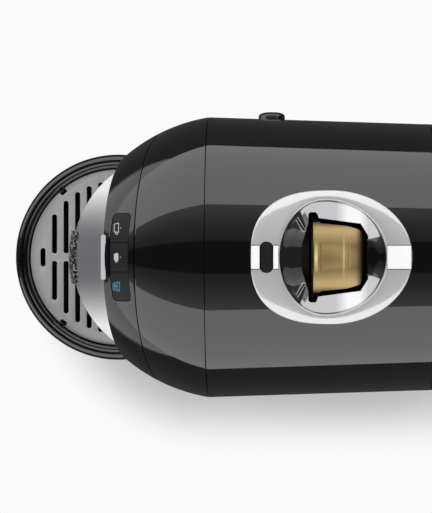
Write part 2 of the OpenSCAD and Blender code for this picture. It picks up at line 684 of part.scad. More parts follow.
module brew_frame() color("#4a4c50") difference() {
  union() {
    for (s = [-1, 1]) translate([s * (frame_x + frame_t / 2) - frame_t / 2, frame_y, head_z - 1])
        cube([frame_t, frame_len, pod_z - head_z + 18]);
    for (s = [-1, 1]) translate([s * (frame_x + frame_t + 4) - 4, frame_y, head_z - 1])
        cube([8, frame_len, 2]);
    translate([-frame_x, frame_y + frame_len - 2, pod_z - 24]) cube([2 * frame_x, 2, 42]);
    translate([-frame_x, frame_y, pod_z - 24]) cube([2 * frame_x, 2, 42]);
  }
  translate([0, pinion_y, rack_z - pinion_r]) rotate([0, 90, 0]) cylinder(r = 2.1, h = 60);
  for (s = [-1, 1]) translate([s * rod_x, 0, pod_z]) rotate([-90, 0, 0])
      cylinder(r = rod_r + 0.02, h = 100);
  translate([0, 0, pod_z]) rotate([-90, 0, 0]) cylinder(r = 5, h = 20);
}

module guide_rods() color("#c9ccd0") for (s = [-1, 1]) translate([s * rod_x, frame_y, pod_z]) rotate([-90, 0, 0])
    cylinder(r = rod_r, h = frame_len);

module brew_head() color("#303236") difference() {
  union() {
    translate([0, 6.05, pod_z]) rotate([-90, 0, 0]) cylinder(r = 20, h = pod_y - 6.05 - 1);
    translate([0, pod_y - 1, pod_z]) rotate([-90, 0, 0]) cylinder(r1 = 1.6, r2 = 0.4, h = 0.7);
    translate([0, -3, pod_z]) rotate([-90, 0, 0]) cylinder(r = 4.8, h = 12);
  }
  translate([0, -5, pod_z]) rotate([-90, 0, 0]) cylinder(r = 2, h = 20);
}

// Two spring fingers that carry the flange until the spent pod is pushed out
module pod_gripper() color("#cfd3d8") for (s = [-1, 1]) {
  translate([s * 25.7 - 0.8, pod_y - 2, pod_z - 22]) cube([1.6, 6, 22]);
  translate([0, pod_y - 2, pod_z]) rotate([-90, 0, 0]) rotate_extrude_arc(s);
  translate([s * 31 - 5, pod_y - 2, pod_z - 22]) cube([10, 6, 2]);
}

module rotate_extrude_arc(s) linear_extrude(6) intersection() {
  difference() {
    circle(r = 26.3);
    circle(r = pod_flange_r + run_gap);
  }
  polygon([[0, 0], [s * 60, 30], [s * 60, 60], [s * 30, 60]]);
}

module brew_chamber() color("#8f9398") difference() {
  union() {
    translate([0, chamber_y, pod_z]) rotate([-90, 0, 0]) cylinder(r = chamber_r, h = chamber_len);
    for (s = [-1, 1]) translate([s * rod_x, chamber_y + 4, pod_z]) rotate([-90, 0, 0])
        cylinder(r = rod_r + 2.4, h = 22);
    for (s = [-1, 1]) translate([s * 24 - 5, chamber_y + 4, pod_z - 2]) cube([10, 22, 4]);
  }
  translate([0, chamber_y - eps, pod_z]) rotate([-90, 0, 0])
      cylinder(r1 = pod_r + 0.6, r2 = pod_end_r + 1, h = chamber_depth);
  for (s = [-1, 1]) translate([s * rod_x, 0, pod_z]) rotate([-90, 0, 0])
      cylinder(r = rod_r + 0.06, h = 100);
}

module chamber_seal() color("#b24a2a") translate([0, chamber_y - 0.8, pod_z]) rotate([-90, 0, 0])
    difference() {
  cylinder(r = chamber_r - 0.6, h = 0.8);
  translate([0, 0, -1]) cylinder(r = pod_r + 0.6, h = 3);
}

rack_y0 = pinion_y - 6;
rack_len = stroke + 12;

module drive_rack() color("#e4e0d4") translate([pinion_x, rack_y0, 0]) union() {
  translate([0, 0, rack_z + gear_m * 1.3]) cube([6, rack_len, 4]);
  translate([0, chamber_y + 4.2 - rack_y0, rack_z + gear_m * 1.3 + 3.9])
      cube([6, 14, pod_z - rod_r - 2.42 - rack_z - gear_m * 1.3 - 3.9]);
  for (i = [0 : floor(rack_len / (gear_m * PI)) - 1]) translate([0, 1.5 + gear_m * PI * (i + 0.5), rack_z])
      rotate([90, 0, 90])
    linear_extrude(6) polygon([[-1.15, 1.31] * gear_m, [1.15, 1.31] * gear_m, [0.66, 0] * gear_m,
        [0.34, -0.9] * gear_m,
                               [-0.34, -0.9] * gear_m, [-0.66, 0] * gear_m]);
}

rack_phase = (1.5 - 6 + gear_m * PI * 0.5) / (gear_m * PI) * 360 / pinion_n;

// Half tooth of the pinion from root to tip, as [radius, half thickness]
tooth = [[pinion_r - 1.25 * gear_m, 0.95 * gear_m], [pinion_r, 0.66 * gear_m],
    [pinion_r + 0.9 * gear_m, 0.3 * gear_m]];

function polar(r, side, a) = [r * cos(a + asin(side / r)), r * sin(a + asin(side / r))];

module drive_pinion() color("#e4e0d4") translate([pinion_x + 0.4, pinion_y, rack_z - pinion_r])
    rotate([90, 0, 90]) union() {
  linear_extrude(5.2) polygon([for (i = [0 : pinion_n - 1])
      let (a = 90 + 180 / pinion_n - rack_phase + 360 / pinion_n * i)
    each concat([for (t = tooth) polar(t[0], -t[1], a)],
        [for (k = [2 : -1 : 0]) polar(tooth[k][0], tooth[k][1], a)])]);
  translate([0, 0, 5.2]) cylinder(r = 2, h = frame_x + frame_t - pinion_x - 2.2);
}

module gear_motor() color("#6d7075") difference() {
  union() {
    translate([frame_x + frame_t, pinion_y - 16, rack_z - 21]) cube([20, 34, 26]);
    translate([frame_x + frame_t + 10, pinion_y - 16, rack_z - 8]) rotate([90, 0, 0])
        cylinder(r = 9, h = 30);
  }
  translate([frame_x, pinion_y, rack_z - pinion_r]) rotate([0, 90, 0]) cylinder(r = 2.1, h = 8);
}

module thermoblock() color("#9ea1a5") union() {
  translate([-30, -62, head_z + wall]) cube([60, 32, 28]);
  for (s = [-1, 1]) translate([s * 18, -30, block_z]) rotate([-90, 0, 0]) cylinder(r = 3.5, h = 6);
}

module thermal_cutout() color("#d9d4c4") translate([0, -47, head_z + wall + 28]) union() {
  cylinder(r = 7.5, h = 5);
  translate([-6, -1.5, 5]) cube([2, 3, 6]);
  translate([4, -1.5, 5]) cube([2, 3, 6]);
}

// ---------------------------------------------------------------- water circuit

block_z = head_z + wall + 14.5;  // height of the connectors of the thermoblock
pump_y = 62;
pump_z = 29;

module pump() color("#c8b25a") union() {
  translate([-26, pump_y, pump_z]) rotate([0, 90, 0]) cylinder(r = 15, h = 46);
  translate([-8, pump_y - 16, pump_z - 16]) cube([22, 32, 32]);
  translate([20, pump_y, pump_z]) rotate([0, 90, 0]) cylinder(r = 8, h = 14);
  translate([-40, pump_y, pump_z]) rotate([0, 90, 0]) cylinder(r = 6, h = 14);
}

module pump_mounts() color("#101011") for (x = [-24, 22]) difference() {
  translate([x - 2, pump_y - 18, plate_top]) cube([4, 36, 35]);
  translate([x - 5, pump_y, pump_z]) rotate([0, 90, 0]) cylinder(r = x < 0 ? 15.05 : 8.05, h = 10);
}

meter_x = 24.7 - rear_w / 2;   // beside the wall of the base
meter_y = tank_y;

module flow_meter() color("#e6e6e2") union() {
  translate([meter_x, meter_y, plate_top]) cylinder(r = 11, h = 12);
  translate([meter_x, meter_y, plate_top + 12]) cylinder(r = 3, h = 5);
}

hose_x = 58;

suction_a = [[0, valve_y, 28], [0, valve_y, 24], [-6, valve_y - 4, 18], [-24, valve_y - 10, 17],
    [meter_x + 12, meter_y + 11.8, 16], [meter_x + 7.8, meter_y + 7.8, 16]];
suction_b = [[meter_x, meter_y, 27], [meter_x, meter_y, 31], [-52, 84, 35], [-55, 70, 32],
    [-50, pump_y, pump_z],
  [-46, pump_y, pump_z], [-40, pump_y, pump_z]];
pressure_run = [[34, pump_y, pump_z], [40, pump_y, pump_z], [52, 60, 29], [58, 46, 28], [58, 16, 28],
    [58, -6, 32], [58, -12, 44], [58, -12, 70],
  [58, -12, head_z - 10], [56, -13, head_z + 8], [46, -16, block_z - 1], [30, -17, block_z],
      [19, -17, block_z],
  [18, -20, block_z], [18, -24, block_z]];
brew_run = [[-18, -24, block_z], [-18, -20, block_z], [-17, -14, block_z + 7], [-10, -13, pod_z - 16],
    [-2, -12, pod_z - 4],
  [0, -8, pod_z], [0, -3, pod_z]];
coffee_run = [[0, spout_y, cowl_z + 12], [0, spout_y, cowl_z + 18], [0, spout_y + 6, pod_z - 20],
    [0, -56, pod_z - 18],
  [0, -24, pod_z - 19], [0, -8, pod_z - 28], [0, 4, pod_z - 32], [0, 12, pod_z - 27], [0, 12, pod_z - 20]];

function unit(v) = v / norm(v);

// Smooth curve through hand-placed points, with n steps from each point to the next
function curve(p, n) = concat([for (i = [0 : len(p) - 2], k = [0 : n - 1])
  let (a = p[max(0, i - 1)], b = p[i], c = p[i + 1], d = p[min(len(p) - 1, i + 2)], t = k / n)
  0.5 * (2 * b + (c - a) * t + (2 * a - 5 * b + 4 * c - d) * t * t + (3 * b - a - 3 * c + d) * t * t * t)],
      [p[len(p) - 1]]);

// Side vectors carried along the tangents t from vector v, so that a tube doesn't twist
function sides(t, v, i = 0) = i == len(t) ? [] : let (w = unit(v - (v * t[i]) * t[i]))
    concat([w], sides(t, w, i + 1));

// Tube of radius r through the points p
module hose(p, r, start = [1, 0, 0], n = 3, m = 10) {
  q = curve(p, n);
  last = len(q) - 1;
  t = [for (i = [0 : last]) unit(i == 0 ? p[1] - p[0] : i == last ? p[len(p) - 1] - p[len(p) - 2] : q[i + 1] - q[i - 1])];
  u = sides(t, start);
  polyhedron([for (i = [0 : last], k = [0 : m - 1])
      q[i] + r * (cos(360 * k / m) * u[i] + sin(360 * k / m) * cross(t[i], u[i]))],
    concat([[for (k = [0 : m - 1]) k]], [[for (k = [m - 1 : -1 : 0]) last * m + k]],
           [for (i = [0 : last - 1], k = [0 : m - 1]) [i * m + k, (i + 1) * m + k,
               (i + 1) * m + (k + 1) % m, i * m + (k + 1) % m]]));
}

module suction_hose() color("#dcdcd6") {
  hose(suction_a, 3);
  hose(suction_b, 3, [1, 0, 0]);
}

module pressure_hose() color("#dcdcd6") hose(pressure_run, 3, [0, 0, 1]);

module brew_hose() color("#dcdcd6") hose(brew_run, 3);

module coffee_pipe() color("#dcdcd6") hose(coffee_run, 2.6);

module control_board() color("#1f5a33") union() {
  for (y = [-8, 70], z = [deck_z + 14, drawer_top - 10]) let (gap_x = side_w(y, z) - wall - 60 - 0.4)
      translate([-60 - gap_x, y, z]) rotate([0, 90, 0])
    cylinder(r = 2.5, h = gap_x + 0.5);
  translate([-60, -14, deck_z + 8]) cube([1.6, 92, drawer_top - deck_z - 10]);
  translate([-58.4, 0, deck_z + 16]) cube([9, 22, 20]);
  translate([-58.4, 34, deck_z + 50]) cube([11, 16, 24]);
}

inlet_x = 0;
inlet_z = 25;

module power_inlet() color("#111113") difference() {
  union() {
    translate([inlet_x - 14, rear_y - 24, inlet_z - 10.2]) cube([28, 24, 20.4]);
    translate([inlet_x - 16, rear_y - wall - 2.1, inlet_z - 12.2]) cube([32, 2, 24.4]);
  }
  difference() {
    translate([inlet_x - 12, rear_y - 18, inlet_z - 8.2]) cube([24, 20, 16.4]);
    for (i = [-1 : 1]) translate([inlet_x + i * 7 - 1, rear_y - 19, inlet_z - 2 + (i == 0 ? 3.5 : -1)])
        cube([2, 15, 4]);
  }
}

// ---------------------------------------------------------------- pod

module pod_body() color("#b79a5c") translate([0, pod_y + 1.4, pod_z]) rotate([-90, 0, 0]) rotate_extrude()
    polygon([
  [0, 0], [pod_r, 0], [pod_r, 3.4], [pod_r - 0.5, 4], [pod_r - 0.7, 4.6],
  [lerp(pod_r - 0.6, pod_end_r, 0.62), pod_len * 0.7], [lerp(pod_r - 0.9, pod_end_r, 0.66), pod_len * 0.74],
  [pod_end_r, pod_len - 4], [pod_end_r - 1.2, pod_len - 1.4], [pod_end_r - 3.6, pod_len - 0.4],
      [0, pod_len - 0.4]]);

module pod_flange() color("#26221d") translate([0, pod_y, pod_z]) rotate([-90, 0, 0])
    cylinder(r = pod_flange_r, h = 1.35);

// ---------------------------------------------------------------- assembly

main_cover();
nose_cover();
control_panel();
spout_cowl();
cowl_badge();
light_bar();
inlet_ring();
inlet_funnel();
eject_button();
button_large_cup();
button_small_cup();
button_hot_water();
power_button();
head_floor();
spout_plate();
spout_nozzle();
base_plate();
rubber_feet();
base_screws();
base_skirt();
column_frame();
mid_deck();
rear_bulkhead();
drip_tray();
tray_rim();
cup_grille();
pod_drawer();
drawer_front();
water_tank();
tank_lid();
valve_seal();
valve_body();
valve_poppet();
tank_socket();
keypad_board();
power_switch();
brew_frame();
brew_head();
pod_gripper();
guide_rods();
brew_chamber();
chamber_seal();
drive_rack();
drive_pinion();
gear_motor();
thermoblock();
thermal_cutout();
pump();
pump_mounts();
flow_meter();
suction_hose();
pressure_hose();
brew_hose();
coffee_pipe();
control_board();
power_inlet();
pod_body();
pod_flange();
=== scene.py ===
"""Dresses the pod coffee machine: smooth covers, chrome inlet, gold pod, keys, drip tray and every finish."""

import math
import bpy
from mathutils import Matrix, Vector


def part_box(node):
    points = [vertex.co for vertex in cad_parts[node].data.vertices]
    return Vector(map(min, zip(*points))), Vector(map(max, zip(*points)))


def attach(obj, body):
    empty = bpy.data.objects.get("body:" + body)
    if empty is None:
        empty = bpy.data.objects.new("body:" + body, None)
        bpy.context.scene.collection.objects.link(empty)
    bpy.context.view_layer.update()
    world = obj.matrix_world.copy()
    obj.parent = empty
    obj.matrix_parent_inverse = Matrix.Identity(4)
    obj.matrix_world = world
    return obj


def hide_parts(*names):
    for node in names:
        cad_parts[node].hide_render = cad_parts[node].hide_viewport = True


bl_info = {
    "name": "Pod Coffee Machine",
    "version": (1, 0, 0),
    "blender": (4, 5, 0),
    "location": "View3D > Sidebar > Coffee",
    "description": "Adds the covers, inlet, pod, keys, tray and finishes of a pod coffee machine",
    "category": "Add Mesh",
}

import bpy
from mathutils import Matrix, Vector

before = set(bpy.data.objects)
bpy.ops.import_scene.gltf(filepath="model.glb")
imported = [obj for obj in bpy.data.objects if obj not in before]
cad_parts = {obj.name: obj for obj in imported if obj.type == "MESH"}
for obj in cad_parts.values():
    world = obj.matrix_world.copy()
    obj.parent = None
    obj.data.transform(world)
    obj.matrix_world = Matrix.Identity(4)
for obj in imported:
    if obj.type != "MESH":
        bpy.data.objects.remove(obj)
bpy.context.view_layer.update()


def length(text, value):
    """A size in metres, with its tooltip."""
    return bpy.props.FloatProperty(name=text, description=text, default=value, unit="LENGTH", precision=5)


def number(text, value):
    """A plain number, with its tooltip."""
    return bpy.props.FloatProperty(name=text, description=text, default=value, precision=3)


def colour(text, value):
    """A linear colour, with its tooltip."""
    return bpy.props.FloatVectorProperty(name=text, description=text, default=value, subtype="COLOR", size=3)


class BodySizes(bpy.types.PropertyGroup):
    """Sizes of the arched body, its nose and its rear."""

    height: length("Top of the body above the counter", 0.262)
    width: length("Width at the nose seam", 0.1532)
    rear_width: length("Width where the rear corners begin", 0.1454)
    waist: length("Height of the widest line", 0.185)
    tuck: length("How far each side tucks in from waist to counter", 0.007)
    arch_power: number("Fullness of the arch", 2.2)
    wall: length("Wall of the covers", 0.0025)
    gap: length("Joint line between covers", 0.0004)
    seam_y: length("Seam between nose and main cover", -0.028)
    rim_y: length("Front rim of the head", -0.0824)
    panel: length("Length of the control panel", 0.017)
    rake: number("Rake of the rim", 0.2)
    nose_plan: length("Radius of the nose in plan", 0.094)
    nose_side: length("Radius of the nose from the side", 0.087)
    rear_y: length("Rearmost point", 0.15)
    corner_y: length("Where the rear corners begin", 0.0874)
    corner_w: length("How far the rear corners pull in", 0.038)
    crown_y: length("Where the top starts to fall to the rear", 0.092)
    crown_drop: length("How far the top falls to the rear", 0.036)
    head_z: length("Underside of the head", 0.16)
    deck_z: length("Top of the base", 0.05)
    tank_y: length("Seam between body and water tank", 0.092)
    lid_z: length("Joint between tank and lid", 0.222)
    rim_side: length("Side thickness of the rim", 0.0046)
    rim_top: length("Top thickness of the rim", 0.0026)


class InletSizes(bpy.types.PropertyGroup):
    """Sizes of the chrome inlet ring, its funnel and the pod."""

    ring_y: length("Middle of the ring", 0.0381)
    ring_ly: length("Half length of the ring", 0.0419)
    ring_lx: length("Half width of the ring", 0.0349)
    mouth_y: length("Widest line of the funnel mouth", 0.0353)
    mouth_rx: length("Half width of the funnel mouth", 0.0296)
    mouth_rear: length("Reach of the mouth to the rear of its widest line", 0.0312)
    mouth_front: length("Reach of the mouth to the front of its widest line", 0.024)
    slot_z: length("Height of the edge of the pod's slot", 0.2508)
    eject_y: length("Middle of the eject key", 0.0045)
    pod_y: length("Front face of the pod flange", 0.0276)
    pod_z: length("Height of the pod axis", 0.216)
    pod_r: length("Radius of the pod body", 0.0189)
    pod_end_r: length("Radius of the pod's small end", 0.0154)
    pod_len: length("Length of the pod body", 0.027)
    flange_r: length("Radius of the pod flange", 0.0227)


class TraySizes(bpy.types.PropertyGroup):
    """Sizes of the drip tray and its grille."""

    y: length("Middle of the tray", -0.088)
    r: length("Outer radius of the rim", 0.062)
    top: length("Top of the rim", 0.048)
    shelf: length("Shelf that the grille lies on", 0.043)
    grille_r: length("Radius of the grille", 0.053)
    grille_t: length("Thickness of the grille", 0.0012)
    pitch: length("Distance between rows of slots", 0.007)
    slot: length("Width of a slot", 0.003)
    reach: length("Radius that the slots reach", 0.0464)
    web: length("Width of the middle web", 0.0044)
    tab_angle: number("Angle of each tab from straight ahead, in degrees", 50.0)


class FinishColours(bpy.types.PropertyGroup):
    """Base colours of the finishes that show."""

    black: colour("Gloss black covers", (0.0035, 0.0035, 0.004))
    key: colour("Satin dark grey keys", (0.018, 0.018, 0.0195))
    silver: colour("Silver paint of the cowl", (0.56, 0.57, 0.59))
    gold: colour("Gold lacquer of the pod", (0.76, 0.54, 0.22))
    steel: colour("Steel of the grille", (0.8, 0.785, 0.79))


def body():
    return bpy.context.scene.coffee_body


def inlet():
    return bpy.context.scene.coffee_inlet


def tray():
    return bpy.context.scene.coffee_tray


def tints():
    return bpy.context.scene.coffee_colours


# ---------------------------------------------------------------- form of the body


NOSE_PLAN_SLOPE = 9.3  # degrees at which the sides already close where the nose starts
NOSE_SIDE_SLOPE = 5  # degrees at which the top already falls where the nose starts
SIDE_SHARE = 0.16  # share of a section line that runs up each side to the waist


def mix(a, b, t):
    """The value at a share t of the way from a to b."""
    return a + (b - a) * t


def bowed(value, bow):
    """Raises a share from -1 to 1 to a power and keeps its sign."""
    return math.copysign(abs(value) ** bow, value)


def along(profile, share):
    """Value at a share of the way along a profile of (share, value) steps, and past its end its last value."""
    for (s0, v0), (s1, v1) in zip(profile, profile[1:]):
        if s0 <= share <= s1 and s1 > s0:
            return mix(v0, v1, (share - s0) / (s1 - s0))
    return profile[-1][1]


def arc_drop(d, r, degrees):
    """How far an arc of radius r has fallen after d, when it starts at the given slope."""
    a = math.radians(degrees)
    return r * math.cos(a) - math.sqrt(max(0.0, r * r - (d + r * math.sin(a)) ** 2))


def quarter_drop(t, depth):
    """How far a quarter of an oval has fallen at a share t of its length."""
    return depth * (1 - math.sqrt(max(0.0, 1 - t * t)))


def half_width(y):
    """Half the width of the body at its waist."""
    s = body()
    if y < s.seam_y:
        return s.width / 2 - arc_drop(s.seam_y - y, s.nose_plan, NOSE_PLAN_SLOPE)
    if y < s.corner_y:
        return mix(s.width, s.rear_width, (y - s.seam_y) / (s.corner_y - s.seam_y)) / 2
    return s.rear_width / 2 - quarter_drop((y - s.corner_y) / (s.rear_y - s.corner_y), s.corner_w)


def crown(y):
    """Height of the body along its middle."""
    s = body()
    if y < s.seam_y:
        return s.height - arc_drop(s.seam_y - y, s.nose_side, NOSE_SIDE_SLOPE)
    if y < s.crown_y:
        return s.height
    return s.height - quarter_drop((y - s.crown_y) / (s.rear_y - s.crown_y), s.crown_drop)


def side_width(y, z):
    """Half the width of the body at a height below the waist."""
    s = body()
    return half_width(y) - s.tuck * (s.waist - z) / s.waist


def skin_z(x, y):
    """Height of the body's skin over a point of the plan."""
    s = body()
    t = min(1.0, abs(x) / half_width(y))
    return s.waist + (crown(y) - s.waist) * (1 - t**s.arch_power) ** (1 / s.arch_power)


def skin_point(y, u, low, inset=0.0):
    """Point of the body's section at y: u runs from the left foot over the arch to the right foot, down to low."""
    s = body()
    if u < SIDE_SHARE or u > 1 - SIDE_SHARE:
        t = min(u, 1 - u) / SIDE_SHARE
        z = mix(low, s.waist, t)
        x = side_width(y, z) - inset
        return Vector((-x if u < 0.5 else x, y, z))
    a = math.pi * (1 - (u - SIDE_SHARE) / (1 - 2 * SIDE_SHARE))
    bow = 2 / s.arch_power
    x = (half_width(y) - inset) * bowed(math.cos(a), bow)
    return Vector((x, y, s.waist + (crown(y) - inset - s.waist) * abs(math.sin(a)) ** bow))


def raked_y(y0, u, low):
    """Y at which the section line u meets the raked plane through the crown at y0."""
    y = y0
    for _ in range(6):  # enough rounds for y to settle
        y = y0 + body().rake * (crown(y0) - skin_point(y, u, low).z)
    return y


# ---------------------------------------------------------------- tools for making pieces


def only(*objects):
    """Selects these objects alone; the first is the active one."""
    bpy.ops.object.select_all(action="DESELECT")
    for o in objects:
        o.select_set(True)
    bpy.context.view_layer.objects.active = objects[0]


def modify(piece, kind, **values):
    """Adds a modifier with these values and applies it."""
    only(piece)
    modifier = piece.modifiers.new(kind.title(), kind)
    for key, value in values.items():
        setattr(modifier, key, value)
    bpy.ops.object.modifier_apply(modifier=modifier.name)
    return piece


def sheet_of(steps_u, steps_v, place):
    """A grid laid out so that its vertex at (u, v), each from 0 to 1, lies at place(u, v)."""
    bpy.ops.object.select_all(action="DESELECT")
    bpy.ops.mesh.primitive_grid_add(x_subdivisions=steps_u, y_subdivisions=steps_v, size=1)
    piece = bpy.context.object
    for vertex in piece.data.vertices:
        vertex.co = place(vertex.co.x + 0.5, vertex.co.y + 0.5)
    return piece


def weld(piece, distance=0.00001, fill=False):
    """Merges doubled vertices, fills the holes if asked to, and points all faces outwards."""
    only(piece)
    bpy.ops.object.mode_set(mode="EDIT")
    bpy.ops.mesh.select_all(action="SELECT")
    bpy.ops.mesh.remove_doubles(threshold=distance)
    if fill:
        bpy.ops.mesh.fill_holes(sides=0)
    bpy.ops.mesh.normals_make_consistent(inside=False)
    bpy.ops.object.mode_set(mode="OBJECT")
    return piece


def prism(corners, low, high):
    """An upright prism on a closed outline."""
    count = len(corners)
    middle = sum(corners, Vector()) / count

    def place(u, v):
        level = round(v * 3)
        spot = middle if level in (0, 3) else corners[round(u * count) % count]
        return Vector((spot.x, spot.y, low if level < 2 else high))

    return weld(sheet_of(count, 3, place))


def turned(profile, centre, axis="Z", steps=96):
    """A closed turned shape. The profile is a closed list of (radius, height) along the axis."""
    ring = profile + profile[:1]
    last = len(ring) - 1

    def place(u, v):
        r, h = ring[round(v * last)]
        a = 2 * math.pi * u
        x, y = r * math.cos(a), r * math.sin(a)
        turn = {"Z": Vector((x, y, h)), "Y": Vector((x, h, -y)), "X": Vector((h, x, y))}[axis]
        return Vector(centre) + turn

    return weld(sheet_of(steps, last, place))


def block(size, centre, corner=0.0, edge=0.0, steps=5, turn=None):
    """A block with rounded upright corners and a fine edge radius."""
    bpy.ops.object.select_all(action="DESELECT")
    bpy.ops.mesh.primitive_cube_add(size=1)
    piece = bpy.context.object
    piece.scale = size
    bpy.ops.object.transform_apply(location=False, rotation=False, scale=True)
    if corner:
        bpy.ops.object.mode_set(mode="EDIT")
        bpy.ops.mesh.select_mode(type="EDGE")
        bpy.ops.mesh.select_all(action="DESELECT")
        bpy.ops.object.mode_set(mode="OBJECT")
        for e in piece.data.edges:
            ends = [piece.data.vertices[i].co for i in e.vertices]
            e.select = abs(ends[0].z - ends[1].z) > size[2] / 2
        bpy.ops.object.mode_set(mode="EDIT")
        bpy.ops.mesh.bevel(offset=corner, segments=steps, affect="EDGES")
        bpy.ops.object.mode_set(mode="OBJECT")
    if edge:
        modify(piece, "BEVEL", width=edge, segments=3, limit_method="ANGLE", angle_limit=math.radians(50))
    piece.matrix_world = Matrix.Translation(centre) @ (turn.to_4x4() if turn else Matrix.Identity(4))
    only(piece)
    bpy.ops.object.transform_apply()
    return piece


def drum(radius, depth, centre, axis="Z", sides=64):
    """A round post with its middle at centre."""
    bpy.ops.object.select_all(action="DESELECT")
    turn = {"Z": (0, 0, 0), "X": (0, math.pi / 2, 0), "Y": (math.pi / 2, 0, 0)}[axis]
    bpy.ops.mesh.primitive_cylinder_add(vertices=sides, radius=radius, depth=depth, location=centre, rotation=turn)
    bpy.ops.object.transform_apply()
    return bpy.context.object


def cut(piece, *tools, operation="DIFFERENCE"):
    """Cuts the tools out of the piece, or keeps what they share."""
    for tool in tools:
        modify(piece, "BOOLEAN", object=tool, operation=operation, solver="EXACT")
        bpy.data.objects.remove(tool)
    return piece


def thicken(piece, wall):
    """Gives a sheet its wall, inwards."""
    return modify(piece, "SOLIDIFY", thickness=wall, offset=-1, use_even_offset=True, use_rim=True)


def round_edges(piece, width, steps=3, angle=35):
    """Rounds every edge sharper than the angle."""
    return modify(piece, "BEVEL", width=width, segments=steps, limit_method="ANGLE", angle_limit=math.radians(angle),
                  use_clamp_overlap=True, harden_normals=False)


def merged(*pieces):
    """Joins pieces into the first."""
    only(*pieces)
    bpy.ops.object.join()
    return bpy.context.object


def finished(piece, name, material, on, nodes=(), smooth=35):
    """Names a piece, smooths it, gives it its finish and sets it on its body in place of the nodes."""
    piece.name = piece.data.name = name
    only(piece)
    bpy.ops.object.transform_apply()
    bpy.ops.object.shade_smooth_by_angle(angle=math.radians(smooth))
    piece.data.materials.clear()
    piece.data.materials.append(material)
    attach(piece, on)
    if nodes:
        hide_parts(*nodes)
    return piece


# ---------------------------------------------------------------- finishes


def group_of(name, inputs, outputs):
    """A new shader node group with sockets of these names and kinds; returns it with its inputs and outputs."""
    group = bpy.data.node_groups.new(name, "ShaderNodeTree")
    for way, sockets in (("INPUT", inputs), ("OUTPUT", outputs)):
        for text, kind in sockets.items():
            group.interface.new_socket(text, in_out=way, socket_type=f"NodeSocket{kind}")
    return group, group.nodes.new("NodeGroupInput").outputs, group.nodes.new("NodeGroupOutput").inputs


def node(tree, kind, inputs=None, **settings):
    """Adds a shader node. Each input takes a link where a socket is given, and else a value."""
    added = tree.nodes.new(f"ShaderNode{kind}")
    for key, value in settings.items():
        setattr(added, key, value)
    for key, value in (inputs or {}).items():
        if isinstance(value, bpy.types.NodeSocket):
            tree.links.new(value, added.inputs[key])
        else:
            added.inputs[key].default_value = value
    return added


def reckon(tree, operation, *values):
    """Works out a number from values, each a socket or a plain number."""
    return node(tree, "Math", dict(enumerate(values)), operation=operation).outputs[0]


def ramp(tree, value, start, end, low=0.0, high=1.0, kind="LINEAR"):
    """Runs a value from start to end over low to high."""
    limits = {"Value": value, "From Min": start, "From Max": end, "To Min": low, "To Max": high}
    return node(tree, "MapRange", limits, interpolation_type=kind).outputs["Result"]


def product(tree, total, *others):
    """Multiplies values."""
    for other in others:
        total = reckon(tree, "MULTIPLY", total, other)
    return total


def blended(tree, share, first, second):
    """Mixes two shaders."""
    return node(tree, "MixShader", {0: share, 1: first, 2: second}).outputs[0]


def scaled(tree, color, strength, target):
    """Scales a colour and gives it to a socket."""
    tone = node(tree, "VectorMath", {0: color, "Scale": strength}, operation="SCALE")
    tree.links.new(tone.outputs[0], target)


def place_of(tree):
    """The place of a point on its object."""
    return node(tree, "TexCoord").outputs["Object"]


def plan_of(tree):
    """Distance of a point from the middle line, and its Y."""
    apart = node(tree, "SeparateXYZ", {0: place_of(tree)}).outputs
    return reckon(tree, "ABSOLUTE", apart["X"]), apart["Y"]


def surface_group(name, grain_kind, texture):
    """A surface whose tone and gloss drift together. The texture gives the drift and the fine relief."""
    tree, source, target = group_of(
        name, {"Color": "Color", "Grain": grain_kind, "Roughness": "Float", "Variation": "Float"},
        {"Color": "Color", "Roughness": "Float", "Height": "Float"})
    drift, relief = texture(tree, source["Grain"])
    gain = reckon(tree, "ADD", product(tree, ramp(tree, drift, 0.0, 1.0, -1.0), source["Variation"]), 1.0)
    scaled(tree, source["Color"], gain, target["Color"])
    tree.links.new(product(tree, source["Roughness"], gain), target["Roughness"])
    tree.links.new(relief, target["Height"])
    return tree


def moulded(tree, grain):
    """Fine moulding texture with slow drifts, as on injection moulded plastic."""
    place = place_of(tree)
    fine = node(tree, "TexNoise", {"Vector": place, "Scale": grain, "Detail": 3.0})
    slow = node(tree, "TexNoise", {"Vector": place, "Scale": 22.0, "Detail": 4.0})
    return slow.outputs["Fac"], fine.outputs["Fac"]


def brushed(tree, grain):
    """Fine parallel grain along one axis, as on brushed or drawn metal."""
    stretch = node(tree, "VectorMath", {0: place_of(tree), 1: grain}, operation="MULTIPLY").outputs[0]
    lines = node(tree, "TexNoise", {"Vector": stretch, "Scale": 1.0, "Detail": 5.0}).outputs["Fac"]
    return lines, lines


def pod_painted_highlights(tree):
    """Painted highlights as glow on a lying pod: bright flanks, and a bright spot on its collar, on its bead and along
    its top.
    """
    x, y = plan_of(tree)
    start = inlet().pod_y
    total = product(tree, ramp(tree, x, 0.006, 0.0135), ramp(tree, x, 0.0155, 0.0186, 1.0, 0.2),
                    ramp(tree, y, start + 0.0238, start + 0.0272, 1.0, 0.0))
    # Reach to each side and strength of a painted highlight, then where it starts, is full, begins to fade and ends
    # along the pod
    for reach, strength, low, full, high, end in (
            (0.009, 1.5, 0.0017, 0.0022, 0.0034, 0.0039), (0.013, 0.8, 0.0168, 0.0173, 0.0177, 0.0182),
            (0.03, 0.3, 0.0090, 0.0210, 0.0240, 0.0265)):
        spot = product(tree, ramp(tree, x, 0.0, reach, strength, 0.0), ramp(tree, y, start + low, start + full),
                       ramp(tree, y, start + high, start + end, 1.0, 0.0))
        total = reckon(tree, "ADD", total, spot)
    return total


def cowl_painted_sheen(tree):
    """Painted sheen as glow, brighter towards both sides."""
    share = ramp(tree, plan_of(tree)[0], 0.008, 0.037)
    return product(tree, share, share)


